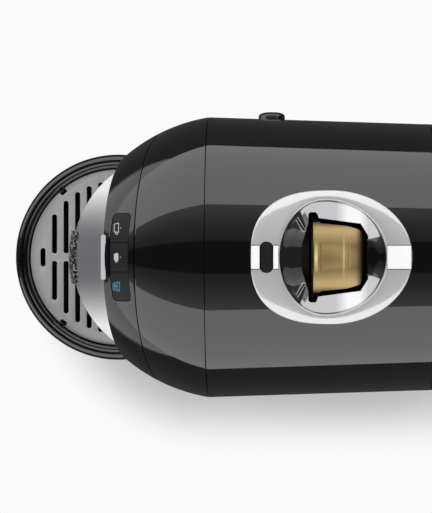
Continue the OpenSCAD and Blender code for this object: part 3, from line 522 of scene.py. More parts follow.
def dish_painted_reflection(tree):
    """Painted reflection as glow, bright on both sides of the slot, towards the rear."""
    x, y = plan_of(tree)
    return product(tree, ramp(tree, x, 0.010, 0.013), ramp(tree, y, 0.0405, 0.0470),
                   ramp(tree, y, 0.0530, 0.0575, 1.0, 0.1))


def painted_glints(tree):
    """Painted glints as glow: small bright flecks where light would catch the points of a knurled face."""
    points = node(tree, "TexNoise", {"Vector": place_of(tree), "Scale": 1200.0})
    return ramp(tree, points.outputs["Fac"], 0.57, 0.66)


def add_painted_light(material, name, strength, color):
    """Adds painted light to a finish: a group that gives the colour as glow, in the strength worked out for each
    point.
    """
    group, source, target = group_of(name, {"Color": "Color"}, {"Color": "Color"})
    scaled(group, source["Color"], strength(group), target["Color"])
    tree = material.node_tree
    painted_glow = node(tree, "Group", {"Color": (*color, 1)}, node_tree=group)
    tree.links.new(painted_glow.outputs["Color"], tree.nodes["Principled BSDF"].inputs["Emission Color"])


def finish(name, group, color, roughness, variation, bump, grain, **shader):
    """A finish made from one of the surface groups and a Principled shader."""
    if name in bpy.data.materials:
        return bpy.data.materials[name]
    material = bpy.data.materials.new(name)
    material.use_nodes = True
    tree = material.node_tree
    bsdf = tree.nodes["Principled BSDF"].inputs
    values = {"Color": (*color, 1), "Roughness": roughness, "Variation": variation, "Grain": grain}
    surface = node(tree, "Group", values, node_tree=group).outputs
    relief = node(tree, "Bump", {"Strength": bump, "Distance": 0.0002, "Height": surface["Height"]})
    tree.links.new(surface["Color"], bsdf["Base Color"])
    tree.links.new(surface["Roughness"], bsdf["Roughness"])
    tree.links.new(relief.outputs["Normal"], bsdf["Normal"])
    for key, value in shader.items():
        bsdf[key.replace("_", " ")].default_value = value
    return material


class Finishes:
    """The machine's finishes, each made once."""

    def __init__(self):
        c = tints()
        plastic = surface_group("Moulded Surface", "Float", moulded)
        metal = surface_group("Brushed Grain", "Vector", brushed)
        self.gloss_black = finish("Gloss black", plastic, c.black, 0.07, 0.12, 0.004, 160, Specular_IOR_Level=0.9,
                                  Coat_Weight=1.0, Coat_Roughness=0.03, Coat_IOR=1.55)
        self.panel_black = finish("Panel black", plastic, c.black, 0.09, 0.1, 0.006, 260, Specular_IOR_Level=0.9,
                                  Coat_Weight=0.8, Coat_Roughness=0.05)
        self.plated = finish("Bright plating", plastic, (0.86, 0.86, 0.87), 0.12, 0.1, 0.002, 80, Metallic=0.45,
                             Specular_IOR_Level=0.8, Coat_Weight=0.6, Coat_Roughness=0.05)
        self.trim = finish("Dark trim", plastic, (0.012, 0.012, 0.013), 0.42, 0.15, 0.25, 1500)
        # The knurled pad glows in painted glints.
        self.knurled = finish("Knurled pad", plastic, (0.03, 0.03, 0.033), 0.2, 2.4, 0.8, 900, Metallic=0.7,
                              Emission_Strength=0.6)
        add_painted_light(self.knurled, "Painted Glints", painted_glints, (0.8, 0.8, 0.85))
        self.key = finish("Key grey", plastic, c.key, 0.38, 0.1, 0.12, 2200, Specular_IOR_Level=0.28)
        self.frost = finish("Frosted light", plastic, (0.62, 0.64, 0.68), 0.35, 0.05, 0.05, 900, Coat_Weight=0.4)
        self.chrome = finish("Polished chrome", plastic, (0.86, 0.86, 0.87), 0.04, 0.3, 0.002, 80, Metallic=1.0)
        # The dish plating glows in a painted reflection beside the slot.
        self.dish = finish("Dish plating", plastic, (0.55, 0.55, 0.565), 0.05, 0.2, 0.002, 80, Metallic=1.0,
                           Emission_Strength=0.38)
        add_painted_light(self.dish, "Dish Painted Reflection", dish_painted_reflection, (0.98, 0.99, 1.0))
        self.grille = finish("Grille steel", plastic, c.steel, 0.42, 0.03, 0.1, 3200, Metallic=0.6)
        # The pearl plating glows all over: a painted reflection of a bright band.
        self.pearl_painted_glow = finish("Pearl plating painted glow", plastic, (0.95, 0.95, 0.96), 0.2, 0.05, 0.002, 80, Metallic=0.1,
                            Coat_Weight=0.6, Coat_Roughness=0.05, Emission_Color=(0.95, 0.97, 1.0, 1),
                            Emission_Strength=0.25)
        # The gold lacquer glows in painted highlights on the flanks, collar, bead and top of the pod.
        self.gold = finish("Gold lacquer", metal, c.gold, 0.34, 0.08, 0.05, (500, 30, 500), Metallic=0.5,
                           Coat_Weight=0.25, Coat_Roughness=0.25, Emission_Strength=0.44)
        add_painted_light(self.gold, "Pod Painted Highlights", pod_painted_highlights, (1.0, 0.74, 0.36))
        # The silver cowl glows in a painted sheen towards its sides.
        self.cowl = finish("Silver cowl", plastic, c.silver, 0.3, 0.04, 0.03, 2600, Metallic=0.7, Coat_Weight=0.3,
                           Coat_Roughness=0.2, Emission_Strength=0.8)
        add_painted_light(self.cowl, "Cowl Painted Sheen", cowl_painted_sheen, (1.0, 1.0, 1.0))
        self.blued = finish("Blued spring steel", plastic, (0.02, 0.02, 0.022), 0.35, 0.1, 0.02, 900, Metallic=0.8)
        self.foil = finish("Dark foil", metal, (0.05, 0.045, 0.04), 0.3, 0.2, 0.1, (900, 900, 900), Metallic=0.6)
        self.white_print = finish("White print", plastic, (0.6, 0.61, 0.63), 0.5, 0.05, 0.02, 1200)
        self.blue_print = finish("Blue print", plastic, (0.09, 0.29, 0.46), 0.45, 0.05, 0.02, 1200)
        self.inner = finish("Inner black", plastic, (0.01, 0.01, 0.011), 0.5, 0.15, 0.3, 900)
        self.rubber = finish("Foot rubber", plastic, (0.008, 0.008, 0.008), 0.75, 0.15, 0.5, 1400)
        self.zinc = finish("Zinc sheet", metal, (0.32, 0.32, 0.33), 0.38, 0.2, 0.1, (900, 60, 900), Metallic=0.9)
        self.steel = finish("Bright steel", metal, (0.6, 0.6, 0.61), 0.2, 0.2, 0.05, (2000, 60, 2000), Metallic=1.0)
        self.cast = finish("Cast aluminium", plastic, (0.5, 0.51, 0.52), 0.45, 0.15, 0.4, 700, Metallic=0.9)
        self.brass = finish("Pump brass", metal, (0.55, 0.4, 0.16), 0.3, 0.2, 0.08, (60, 1500, 1500), Metallic=1.0)
        self.ceramic = finish("Pressed ceramic", plastic, (0.55, 0.5, 0.42), 0.6, 0.1, 0.3, 900)
        self.white = finish("White nylon", plastic, (0.62, 0.61, 0.57), 0.45, 0.05, 0.1, 900)
        self.red = finish("Red silicone", plastic, (0.4, 0.07, 0.04), 0.5, 0.08, 0.1, 900)
        self.board = finish("Board green", plastic, (0.012, 0.075, 0.03), 0.35, 0.2, 0.3, 500)
        self.hose = finish("Hose silicone", plastic, (0.5, 0.5, 0.47), 0.4, 0.1, 0.1, 600, Transmission_Weight=0.3)
        self.smoke = finish("Smoked tank", plastic, (0.16, 0.17, 0.19), 0.08, 0.1, 0.01, 120,
                            Transmission_Weight=0.85, IOR=1.49)


def made():
    """The finishes of this session."""
    if not hasattr(bpy.types.WindowManager, "coffee_finishes"):
        bpy.types.WindowManager.coffee_finishes = Finishes()
    return bpy.types.WindowManager.coffee_finishes


# ---------------------------------------------------------------- covers


EDGE = 0.0003  # radius on the edges of covers and keys


class PieceOperator(bpy.types.Operator):
    """Common ground of the pieces"""

    bl_options = {"REGISTER", "UNDO"}


def cover(steps_u, steps_v, front, back, low, wall):
    """A cover between two edge lines, each a function of u that gives Y."""
    piece = sheet_of(steps_u, steps_v, lambda u, v: skin_point(mix(front(u), back(u), v), u, low))
    return thicken(piece, wall)


class AddMainCover(PieceOperator):
    """Adds the arched main cover with its inlet and power button holes"""

    bl_idname = "coffee.main_cover"
    bl_label = "Main cover"

    mouth_clear = 0.0019  # from the funnel's mouth to the edge of its hole
    eject_hole = (0.0176, 0.0084, 0.04)
    power_y, power_hole = 0.0064, 0.0075  # place and radius of the power button's hole

    def execute(self, context):
        s, i = body(), inlet()
        piece = cover(160, 70, lambda u: s.seam_y + s.gap, lambda u: s.tank_y, s.deck_z + s.gap, s.wall)
        mouth = [mouth_point(math.radians(k * 4), self.mouth_clear) for k in range(90)]
        cut(piece, prism(mouth, s.height - 0.04, s.height + 0.04),
            block(self.eject_hole, (0, i.eject_y, s.height), 0.0039),
            drum(self.power_hole, 0.02, (-half_width(self.power_y), self.power_y, s.waist), "X"))
        finished(round_edges(piece, EDGE), "main_cover_shell", made().gloss_black, "housing",
                 ["main_cover"])
        return {"FINISHED"}


class AddNoseCover(PieceOperator):
    """Adds the nose cover between the control panel and the main cover"""

    bl_idname = "coffee.nose_cover"
    bl_label = "Nose cover"

    def execute(self, context):
        s = body()
        seam = s.rim_y + s.panel
        piece = cover(180, 48, lambda u: raked_y(seam, u, s.head_z) + s.gap, lambda u: s.seam_y, s.head_z, s.wall)
        finished(round_edges(piece, EDGE), "nose_cover_shell", made().gloss_black, "housing",
                 ["nose_cover"])
        return {"FINISHED"}


class AddTank(PieceOperator):
    """Adds the smoked water tank and its lid"""

    bl_idname = "coffee.water_tank"
    bl_label = "Water tank"

    wall = 0.0024
    foot = 0.0003  # gap between tank and deck
    floor = 0.0033  # from the deck to the top of the tank's floor
    core = 0.0022  # from the outside of the tank to the form that its floor is cut from
    lid_gap = 0.0003
    rear_face = 0.8  # share of the way at which the sides have met the flat rear face

    def execute(self, context):
        s = body()
        tank = self.kept(self.shell(), 0.2, s.lid_z + 0.1)
        tank = merged(tank, self.kept(self.core_form(), 0.4, s.deck_z + self.floor + 0.2))
        finished(round_edges(tank, 0.0004), "water_tank_shell", made().smoke, "tank", ["water_tank"])
        lid = self.kept(self.shell(), 0.4, s.lid_z + self.lid_gap - 0.2)
        finished(round_edges(lid, 0.0004), "tank_lid_shell", made().gloss_black, "lid", ["tank_lid"])
        return {"FINISHED"}

    def kept(self, piece, high, middle):
        """What a wide block of this height, with its middle at this height, leaves of a piece."""
        return cut(piece, block((0.4, 0.4, high), (0, body().rear_y, middle)))

    def skin(self, u, v, front, inset=0.0):
        """The rear form: sections that close up to the rear, then a flat rear face."""
        s = body()
        turn = min(1.0, v / self.rear_face)
        y = mix(front, s.rear_y - inset, math.sin(turn * math.pi / 2))
        spot = skin_point(y, u, s.deck_z + self.foot + inset, inset)
        if v > self.rear_face:
            spot.x *= (1 - v) / (1 - self.rear_face)
        return spot

    def shell(self):
        """The whole rear form as a sheet with its wall."""
        front = body().tank_y + body().gap
        return thicken(weld(sheet_of(160, 60, lambda u, v: self.skin(u, v, front))), self.wall)

    def core_form(self):
        """A closed form inside the shell."""
        front = body().tank_y + body().gap + 0.0001
        face = 0.1  # share of the steps that close the front

        def place(u, v):
            if v < face:
                spot = self.skin(u, 0, front, self.core)
                return Vector((spot.x * v / face, spot.y, spot.z))
            return self.skin(u, (v - face) / (1 - face), front, self.core)

        return weld(sheet_of(120, 60, place), fill=True)


class AddPowerButton(PieceOperator):
    """Adds the domed power button on the side"""

    bl_idname = "coffee.power_button"
    bl_label = "Power button"

    def execute(self, context):
        low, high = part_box("power_button")
        r, face, back = (high[2] - low[2]) / 2, low[0], high[0]
        # Radius and X: a straight flank that rounds over into a slightly domed face
        profile = [(0, back), (r, back), (r, face + 0.0022), (r - 0.0003, face + 0.0015), (r - 0.0011, face + 0.0008),
                   (r - 0.0025, face + 0.0003), (r - 0.004, face + 0.00005), (0, face)]
        piece = turned(profile, (0, (low[1] + high[1]) / 2, (low[2] + high[2]) / 2), "X", 72)
        finished(piece, "power_button_cap", made().panel_black, "power_key", ["power_button"], 30)
        return {"FINISHED"}


PANEL_MIDDLE = 0.0086  # from the rim to the middle of the keys, along Y
KEY_WIDTH = 0.015
KEY_LENGTH = 0.0126
KEY_GAP = 0.0004
KEY_FIELD = 3 * KEY_WIDTH + 2 * KEY_GAP


def panel_turn():
    """Turn that stands upright things on the key field, and the field's middle."""
    s = body()
    y = s.rim_y + PANEL_MIDDLE
    slope = math.asin((s.seam_y - y + s.nose_side * math.sin(math.radians(NOSE_SIDE_SLOPE))) / s.nose_side)
    return Matrix.Rotation(slope, 3, "X"), Vector((0, y, crown(y)))


def key_cutter(width, middle, corner, longer=0.0):
    """A block that stands on the key field and takes in a stretch of it."""
    turn, foot = panel_turn()
    return block((width, KEY_LENGTH + longer, 0.02), foot + turn @ Vector((middle, 0, 0)), corner, turn=turn)


class AddControlPanel(PieceOperator):
    """Adds the panel that carries the keys at the front rim of the nose"""

    bl_idname = "coffee.control_panel"
    bl_label = "Control panel"

    def execute(self, context):
        s = body()
        seam = s.rim_y + s.panel
        piece = cover(200, 40, lambda u: raked_y(s.rim_y, u, s.head_z), lambda u: raked_y(seam, u, s.head_z), s.head_z,
                      s.rim_top)
        cut(piece, key_cutter(KEY_FIELD + 2 * KEY_GAP, 0, 0.0026, 2 * KEY_GAP))
        finished(round_edges(piece, 0.00035), "control_panel_shell", made().panel_black, "housing",
                 ["control_panel"])
        return {"FINISHED"}


KEYS = {"large_cup": -1, "small_cup": 0, "hot_water": 1}


class AddBrewKeys(PieceOperator):
    """Adds the three brew keys"""

    bl_idname = "coffee.brew_keys"
    bl_label = "Brew keys"

    # Strokes of each mark as (x, y) points in mm round the key's middle, seen with +Y up
    cup = [(-2.6, 1.5), (-2.1, -1.5), (1.9, -1.5), (2.4, 1.5), (-2.6, 1.5)]
    handle = [(2.3, 1.0), (3.3, 0.9), (3.2, -0.5), (2.1, -0.8)]
    glass = [(-2.3, 2.2), (-1.7, -2.3), (1.7, -2.3), (2.3, 2.2), (-2.3, 2.2)]
    drop = [(-0.1, 2.5), (0.1, 3.3)]

    field_x, field_y = (-0.026, 0.026), (-0.006, 0.021)  # stretch of skin that the keys are cut from, y from the rim
    sunk = 0.0003  # from the skin down to the faces of the keys
    printed = 0.00006  # from the faces of the keys up to the marks

    def execute(self, context):
        for name, side in KEYS.items():
            piece = sheet_of(60, 30, lambda u, v: self.spot(mix(*self.field_x, u), mix(*self.field_y, v)))
            thicken(piece, 0.0028)
            cut(piece, key_cutter(KEY_WIDTH, side * (KEY_WIDTH + KEY_GAP), 0.0003), operation="INTERSECT")
            cut(piece, key_cutter(KEY_FIELD, 0, 0.0022), operation="INTERSECT")
            finished(round_edges(piece, EDGE, angle=50), f"key_{name}", made().key, f"{name}_key",
                     [f"button_{name}"])
        self.marks()
        return {"FINISHED"}

    def marks(self):
        """Printed marks: a full cup, a small cup and a glass of water."""
        white, blue = made().white_print, made().blue_print
        self.mark("large_cup", [(self.cup, 0.42), (self.handle, 0.36), (self.drop, 0.4)], white)
        cup, handle = ([(x * 0.8, y * 0.85) for x, y in line] for line in (self.cup, self.handle))
        self.mark("small_cup", [(cup, 0.42), (handle, 0.34), ([(-1.6, 0), (1.5, 0)], 2.4), (self.drop, 0.36)], white)
        ripples = [([(side, 0.4), (side * 0.9, -1.7)], 0.3) for side in (-1, 1)]
        self.mark("hot_water", [(self.glass, 0.45), ([(-2.0, 0.9), (2.0, 0.9)], 0.3), ([(0, 0.4), (0, -1.7)], 0.9),
                                *ripples], blue)

    def mark(self, name, lines, material):
        """A printed mark on the key of that name, from lines of points with their widths in mm."""
        middle, strokes = KEYS[name] * (KEY_WIDTH + KEY_GAP), []
        for points, width in lines:
            for (x0, y0), (x1, y1) in zip(points, points[1:]):
                long = math.hypot(x1 - x0, y1 - y0)
                nx, ny = (y1 - y0) / long * width / 2, (x0 - x1) / long * width / 2
                strokes.append(self.stroke(middle, x0, y0, x1, y1, nx, ny))
        piece = thicken(merged(*strokes), 0.00012)
        finished(piece, f"mark_{name}", material, f"{name}_key")

    def stroke(self, middle, x0, y0, x1, y1, nx, ny):
        """A flat stroke between two points, half as wide to each side as (nx, ny) says."""

        def place(u, v):
            x = mix(x0, x1, u) + nx * (2 * v - 1)
            y = mix(y0, y1, u) + ny * (2 * v - 1)
            spot = self.spot(middle + x / 1000, PANEL_MIDDLE + (y * 0.8 - 1.1) / 1000)
            return spot + Vector((0, 0, self.printed))

        return sheet_of(6, 2, place)

    def spot(self, x, dy):
        """Point of the keys' faces at x, and dy behind the rim."""
        y = body().rim_y + dy
        return Vector((x, y, skin_z(x, y) - self.sunk))


# ---------------------------------------------------------------- cowl


def cowl_rim_y(z):
    """Y of the raked rim at height z."""
    s = body()
    return s.rim_y + s.rake * (crown(s.rim_y) - z)


COWL_Z = 0.168  # height of the cowl's lower edge
COWL_Y = -0.1047  # foremost point of that edge
COWL_GAP = 0.0003  # between the cowl and the rim over it


def cowl_point(u, z, inset=0.0):
    """Point of the cowl at height z, with u running from its left edge over the front to its right edge."""
    s = body()
    top = crown(s.rim_y)
    back = cowl_rim_y(z)
    front = mix(COWL_Y, s.rim_y, (z - COWL_Z) / (top - COWL_Z)) + inset
    t = min(1.0, (z - s.waist) / (top - s.rim_top - COWL_GAP - s.waist)) if z > s.waist else 0.0
    if z > s.waist:
        half = (half_width(back) - s.rim_side - COWL_GAP) * max(0.0, 1 - t**s.arch_power) ** (1 / s.arch_power)
    else:
        half = side_width(back, z) - s.rim_side - COWL_GAP
    half = max(0.0015, half) - inset
    rise = max(0.0004, back - front)
    r = (half * half + rise * rise) / (2 * rise)
    far = math.asin(min(1.0, half / r))
    if rise > half:
        far = math.pi - far
    a = mix(-far, far, u)
    return Vector((r * math.sin(a), front + r - r * math.cos(a), z))


class AddSpoutCowl(PieceOperator):
    """Adds the silver cowl under the rim and its knurled pad"""

    bl_idname = "coffee.spout_cowl"
    bl_label = "Spout cowl"

    pad_reach = (0.395, 0.605)  # share of the cowl's width at the pad's ends
    pad_rise = (0.0008, 0.0092)  # from the cowl's lower edge to the pad's lower and upper edge
    domes = (24, 6)
    pad_proud, dome_proud = 0.0017, 0.0009

    def execute(self, context):
        s = body()
        top = crown(s.rim_y) - s.rim_top - COWL_GAP
        piece = sheet_of(120, 60, lambda u, v: cowl_point(u, mix(COWL_Z, top, v)))
        thicken(piece, 0.002)
        finished(round_edges(piece, 0.0004), "spout_cowl_shell", made().cowl, "housing",
                 ["spout_cowl"])
        pad = sheet_of(240, 60, self.pad_point)
        thicken(pad, 0.0014)
        finished(pad, "cowl_pad", made().knurled, "housing", ["cowl_badge"], 60)
        return {"FINISHED"}

    def pad_point(self, u, v):
        """The pad's face: rows of small domes, with the outer edges plain."""
        columns, rows = self.domes
        dome = abs(math.sin(math.pi * u * columns) * math.sin(math.pi * v * rows))
        z = COWL_Z + mix(*self.pad_rise, v)
        return cowl_point(mix(*self.pad_reach, u), z, -self.pad_proud - self.dome_proud * dome)


# ---------------------------------------------------------------- inlet


RING_FRONT, RING_REAR = 2.6, 2.03  # fullness of the ring's outline, where 2 is an ellipse


def oval_point(a):
    """Point of the ring's outline, which is fuller at the front than at the rear."""
    i = inlet()
    bow = 2 / (RING_FRONT if math.sin(a) < 0 else RING_REAR)
    return Vector((i.ring_lx * bowed(math.cos(a), bow), i.ring_y + i.ring_ly * bowed(math.sin(a), bow), 0))


def mouth_reach(a):
    """Reach of the mouth from its widest line on the side that a points to."""
    return inlet().mouth_rear if math.sin(a) > 0 else inlet().mouth_front


def mouth_point(a, grow=0.0):
    """Point of the funnel mouth at the parameter a, grown all round."""
    i = inlet()
    return Vector(((i.mouth_rx + grow) * math.cos(a), i.mouth_y + (mouth_reach(a) + grow) * math.sin(a), 0))


class AddInletRing(PieceOperator):
    """Adds the chrome ring round the pod inlet"""

    bl_idname = "coffee.inlet_ring"
    bl_label = "Inlet ring"

    # Across the ring from its outer foot to its inner foot: share of the width, and height over the skin
    profile = [(0, 0.0001), (0.0, 0.0008), (0.012, 0.0012), (0.035, 0.00145), (0.07, 0.0016), (0.3, 0.0019),
               (0.6, 0.0019), (0.88, 0.0016), (0.94, 0.0013), (0.98, 0.0008), (1.0, 0.0), (1.0, -0.006)]
    eject_hole = (0.0162, 0.007)
    eject_key = (0.0156, 0.0064, 0.0062)

    def execute(self, context):
        i = inlet()
        last = len(self.profile) - 1

        def place(u, v):
            share, rise = self.profile[round(v * last)]
            a = 2 * math.pi * u
            spot = oval_point(a).lerp(mouth_point(a, 0.0001), share)
            return Vector((spot.x, spot.y, skin_z(spot.x, spot.y) + rise))

        piece = thicken(weld(sheet_of(144, last, place)), 0.0009)
        skin = skin_z(0, i.eject_y)
        cut(piece, block((*self.eject_hole, 0.02), (0, i.eject_y, skin), 0.0032, steps=10))
        finished(round_edges(piece, 0.00025, angle=60), "inlet_ring_chrome", made().plated, "housing",
                 ["inlet_ring"], 50)
        # Thin plates across the middle of the ring, in pearl plating that glows as a painted reflection, each edged by
        # a thin dark seam plate.
        for name, y0, y1 in (("front", i.ring_y - i.ring_ly + 0.0004, i.eject_y - 0.0036),
                             ("middle", i.eject_y + 0.0036, i.mouth_y - i.mouth_front - 0.0006),
                             ("rear", i.mouth_y + i.mouth_rear + 0.0006, i.ring_y + i.ring_ly - 0.0006)):
            self.bridge(f"ring_painted_band_{name}", made().pearl_painted_glow, 0.0060, y0, y1, 0.00022)
            self.bridge(f"ring_seam_{name}", made().trim, 0.00635, y0 - 0.0002, y1 + 0.0002, 0.0001)
        key = block(self.eject_key, (0, i.eject_y, skin - 0.0019), 0.003, 0.0006, 10)
        finished(key, "eject_key_cap", made().trim, "eject_key", ["eject_button"])
        return {"FINISHED"}

    def bridge(self, name, material, half, y0, y1, rise):
        """A plate on the ring from y0 to y1 across the middle."""

        def place(u, v):
            x, y = mix(-half, half, u), mix(y0, y1, v)
            return Vector((x, y, skin_z(x, y) + self.rise(x, y) + rise))

        finished(thicken(sheet_of(30, 12, place), 0.0004), name, material, "housing")

    def rise(self, x, y):
        """Height of the ring over the skin at a point of the plan."""
        a = math.atan2(y - inlet().mouth_y, x)
        inner, outer = mouth_point(a, 0.0001), oval_point(a)
        share = 1 - min(1.0, (Vector((x, y, 0)) - inner).length / (outer - inner).length)
        return along(self.profile[:-1], share)


def slot_outline():
    """Outline of the pod's slot in plan, right half first, as corners in order round the slot."""
    i = inlet()
    g = 0.0014  # gap between the pod and the edge of the slot
    half = [(0, i.pod_y - 0.0036 - g), (i.pod_r - 0.012, i.pod_y - 0.0033 - g), (i.pod_r - 0.001, i.pod_y - g),
            (i.flange_r + g * 0.6 - 0.001, i.pod_y - g), (i.flange_r + g * 0.6, i.pod_y - g + 0.001),
            (i.flange_r + g * 0.6, i.pod_y + 0.001 + g), (i.flange_r + g * 0.6 - 0.001, i.pod_y + 0.002 + g),
            (i.pod_r + g * 1.2, i.pod_y + 0.002 + g), (i.pod_end_r + g * 1.6, i.pod_y + i.pod_len - 0.001),
            (i.pod_end_r - 0.004, i.pod_y + i.pod_len + 0.0014 + g), (0, i.pod_y + i.pod_len + 0.0024 + g)]
    return half + [(-x, y) for x, y in half[-2:0:-1]]


def slot_ray(a, outline):
    """Distance from the middle of the mouth to an outline round it in the direction a."""
    i = inlet()
    best = 0.004  # the slot reaches at least this far on every side
    dx, dy = math.cos(a), math.sin(a)
    for (x0, y0), (x1, y1) in zip(outline, outline[1:] + outline[:1]):
        ex, ey = x1 - x0, y1 - y0
        cross = dx * ey - dy * ex
        if abs(cross) > 1e-12:
            px, py = x0, y0 - i.mouth_y
            r, along = (px * ey - py * ex) / cross, (px * dy - py * dx) / cross
            if r > 0 and -1e-6 <= along <= 1 + 1e-6:
                best = max(best, r)
    return best


class AddInletDish(PieceOperator):
    """Adds the polished dish that leads the pod into its slot, with the ramp and ribs in front of it"""

    bl_idname = "coffee.inlet_dish"
    bl_label = "Inlet dish"

    # From the lip to the slot: share of the way inwards, share of the depth
    profile = [(0, 0), (0.04, 0.02), (0.1, 0.07), (0.2, 0.18), (0.35, 0.35), (0.5, 0.52), (0.65, 0.68), (0.8, 0.83),
               (0.92, 0.93), (0.97, 0.97), (1, 1.03), (1, 1.5), (1, 2.1)]
    # Corners of the dark plate behind the slot that paints a dark reflection, on its left side from the lip to the
    # slot
    rear_dark_reflection = [(-0.0099, 0.0600), (-0.0093, 0.0568)]
    # Corners of the dark plate on each side of the ramp in front of the slot, each a painted dark reflection
    side_dark_reflection = [(0.0248, 0.0219), (0.0160, 0.0249), (0.0136, 0.0236), (0.0151, 0.0184), (0.0139, 0.0148),
              (0.0197, 0.0166)]
    lip_drop = 0.0065  # from the top of the body down to the lip
    slot_share = 1.03  # share of the depth at the slot's edge, under which the slot's walls stand upright
    rib = (0.0112, 0.0018, 0.003)
    rib_spot, rib_angle = (0.0181, 0.0215), 31  # its middle, and degrees that it turns outwards to the front

    def execute(self, context):
        i = inlet()
        outline = slot_outline()
        turns = sorted({round(2 * math.pi * k / 180, 5) for k in range(181)}
                       | {round(math.atan2(y - i.mouth_y, x) % (2 * math.pi), 5) for x, y in outline})
        steps, last = len(turns) - 1, len(self.profile) - 1

        def place(u, v):
            a = turns[round(u * steps)]
            share, deep = self.profile[round(v * last)]
            r = mix(self.lip(a), slot_ray(a, outline), share)
            return Vector((r * math.cos(a), i.mouth_y + r * math.sin(a), self.fall(a, self.lip(a) - r, deep)))

        piece = thicken(weld(sheet_of(steps, last, place), 0.00002), 0.001)
        finished(piece, "inlet_dish_chrome", made().dish, "housing", ["inlet_funnel"], 32)
        # The dark plate behind the slot, between lip and slot, is a painted dark reflection.
        lip = [mouth_point(math.radians(a), -0.0005) for a in range(67, 114, 3)]
        rear = [Vector((x, y, 0)) for x, y in self.rear_dark_reflection]
        self.insert("rear", [*lip, *rear, *(Vector((-v.x, v.y, 0)) for v in reversed(rear))], outline)
        x, y = self.rib_spot
        high = self.depth(x, y, outline) - 0.0002
        # Dark plates beside the ramp as painted dark reflections, and the chrome ribs.
        for side, name in ((-1, "left"), (1, "right")):
            self.insert(name, [Vector((side * px, py, 0)) for px, py in self.side_dark_reflection], outline)
            turn = Matrix.Rotation(math.radians(-side * self.rib_angle), 3, "Z")
            rib = block(self.rib, (side * x, y, high), 0.0006, 0.0004, 4, turn)
            finished(rib, f"inlet_rib_{name}", made().chrome, "housing")
        return {"FINISHED"}

    def insert(self, name, corners, outline):
        """A thin dark plate that lies on the dish within the corners, as a painted dark reflection."""
        middle = sum(corners, Vector()) / len(corners)
        count = len(corners)

        def spot(u, v):
            corner = middle.lerp(corners[round(u * count) % count], v)
            return Vector((corner.x, corner.y, self.depth(corner.x, corner.y, outline) + 0.0001))

        plate = thicken(weld(sheet_of(count, 8, spot)), 0.0003)
        finished(plate, f"inlet_painted_dark_reflection_{name}", made().gloss_black, "housing")

    def depth(self, x, y, outline):
        """Height of the dish at a point of the plan."""
        i = inlet()
        a = math.atan2(y - i.mouth_y, x)
        lip, slot = self.lip(a), slot_ray(a, outline)
        share = min(1.0, max(0.0, (lip - math.hypot(x, y - i.mouth_y)) / (lip - slot)))
        return self.fall(a, (lip - slot) * share, along(self.profile, share))

    def fall(self, a, way, deep):
        """Height at a distance in from the lip, with the slope held back at the sides, where the slot comes near."""
        steepest = mix(0.4, 0.62, min(1.0, max(0.0, 2 * math.sin(a) - 0.4)))
        top = body().height - self.lip_drop
        full = top - inlet().slot_z
        drop = full * min(deep, self.slot_share)
        return top - min(drop, steepest * way + 0.0001) - full * max(0.0, deep - self.slot_share)

    def lip(self, a):
        """Distance from the middle of the mouth to the lip of the dish in the direction a."""
        return 1 / math.hypot(math.cos(a) / inlet().mouth_rx, math.sin(a) / mouth_reach(a)) - 0.0002


class AddPod(PieceOperator):
    """Adds the gold pod and its dark flange"""

    bl_idname = "coffee.pod"
    bl_label = "Pod"

    def execute(self, context):
        i = inlet()
        r, e, n = i.pod_r, i.pod_end_r, i.pod_len
        y0 = i.pod_y + 0.0014
        # Radius and distance from the flange: the flank, its collar, the bead and the rounded small end
        wall = [(0, 0), (r, 0), (r, 0.0030), (r - 0.0001, 0.0036), (r - 0.0006, 0.004), (r - 0.0008, 0.0046),
                (mix(r, e, 0.62), n * 0.68), (mix(r, e, 0.66) - 0.0002, n * 0.69),
                (mix(r, e, 0.68) - 0.0002, n * 0.71), (mix(r, e, 0.7), n * 0.72), (e, n - 0.0044),
                (e - 0.0004, n - 0.0029), (e - 0.0013, n - 0.0016), (e - 0.0029, n - 0.0007),
                (e - 0.0054, n - 0.0004), (0, n - 0.0004)]
        piece = turned(wall, (0, y0, i.pod_z), "Y", 128)
        finished(round_edges(piece, 0.00015, angle=25), "pod_cup", made().gold, "pod", ["pod_body"])
        rim = turned([(0, 0.0002), (i.flange_r - 0.003, 0.0002), (i.flange_r - 0.0012, 0), (i.flange_r, 0.0002),
                      (i.flange_r, 0.0013), (0, 0.0013)], (0, i.pod_y, i.pod_z), "Y", 128)
        finished(round_edges(rim, 0.0001), "pod_lid_foil", made().foil, "pod", ["pod_flange"])
        return {"FINISHED"}


# ---------------------------------------------------------------- drip tray


def tab_turns():
    """Turns from +X to each of the two tabs."""
    return [Matrix.Rotation(math.radians(-90 + side * tray().tab_angle), 3, "Z") for side in (-1, 1)]


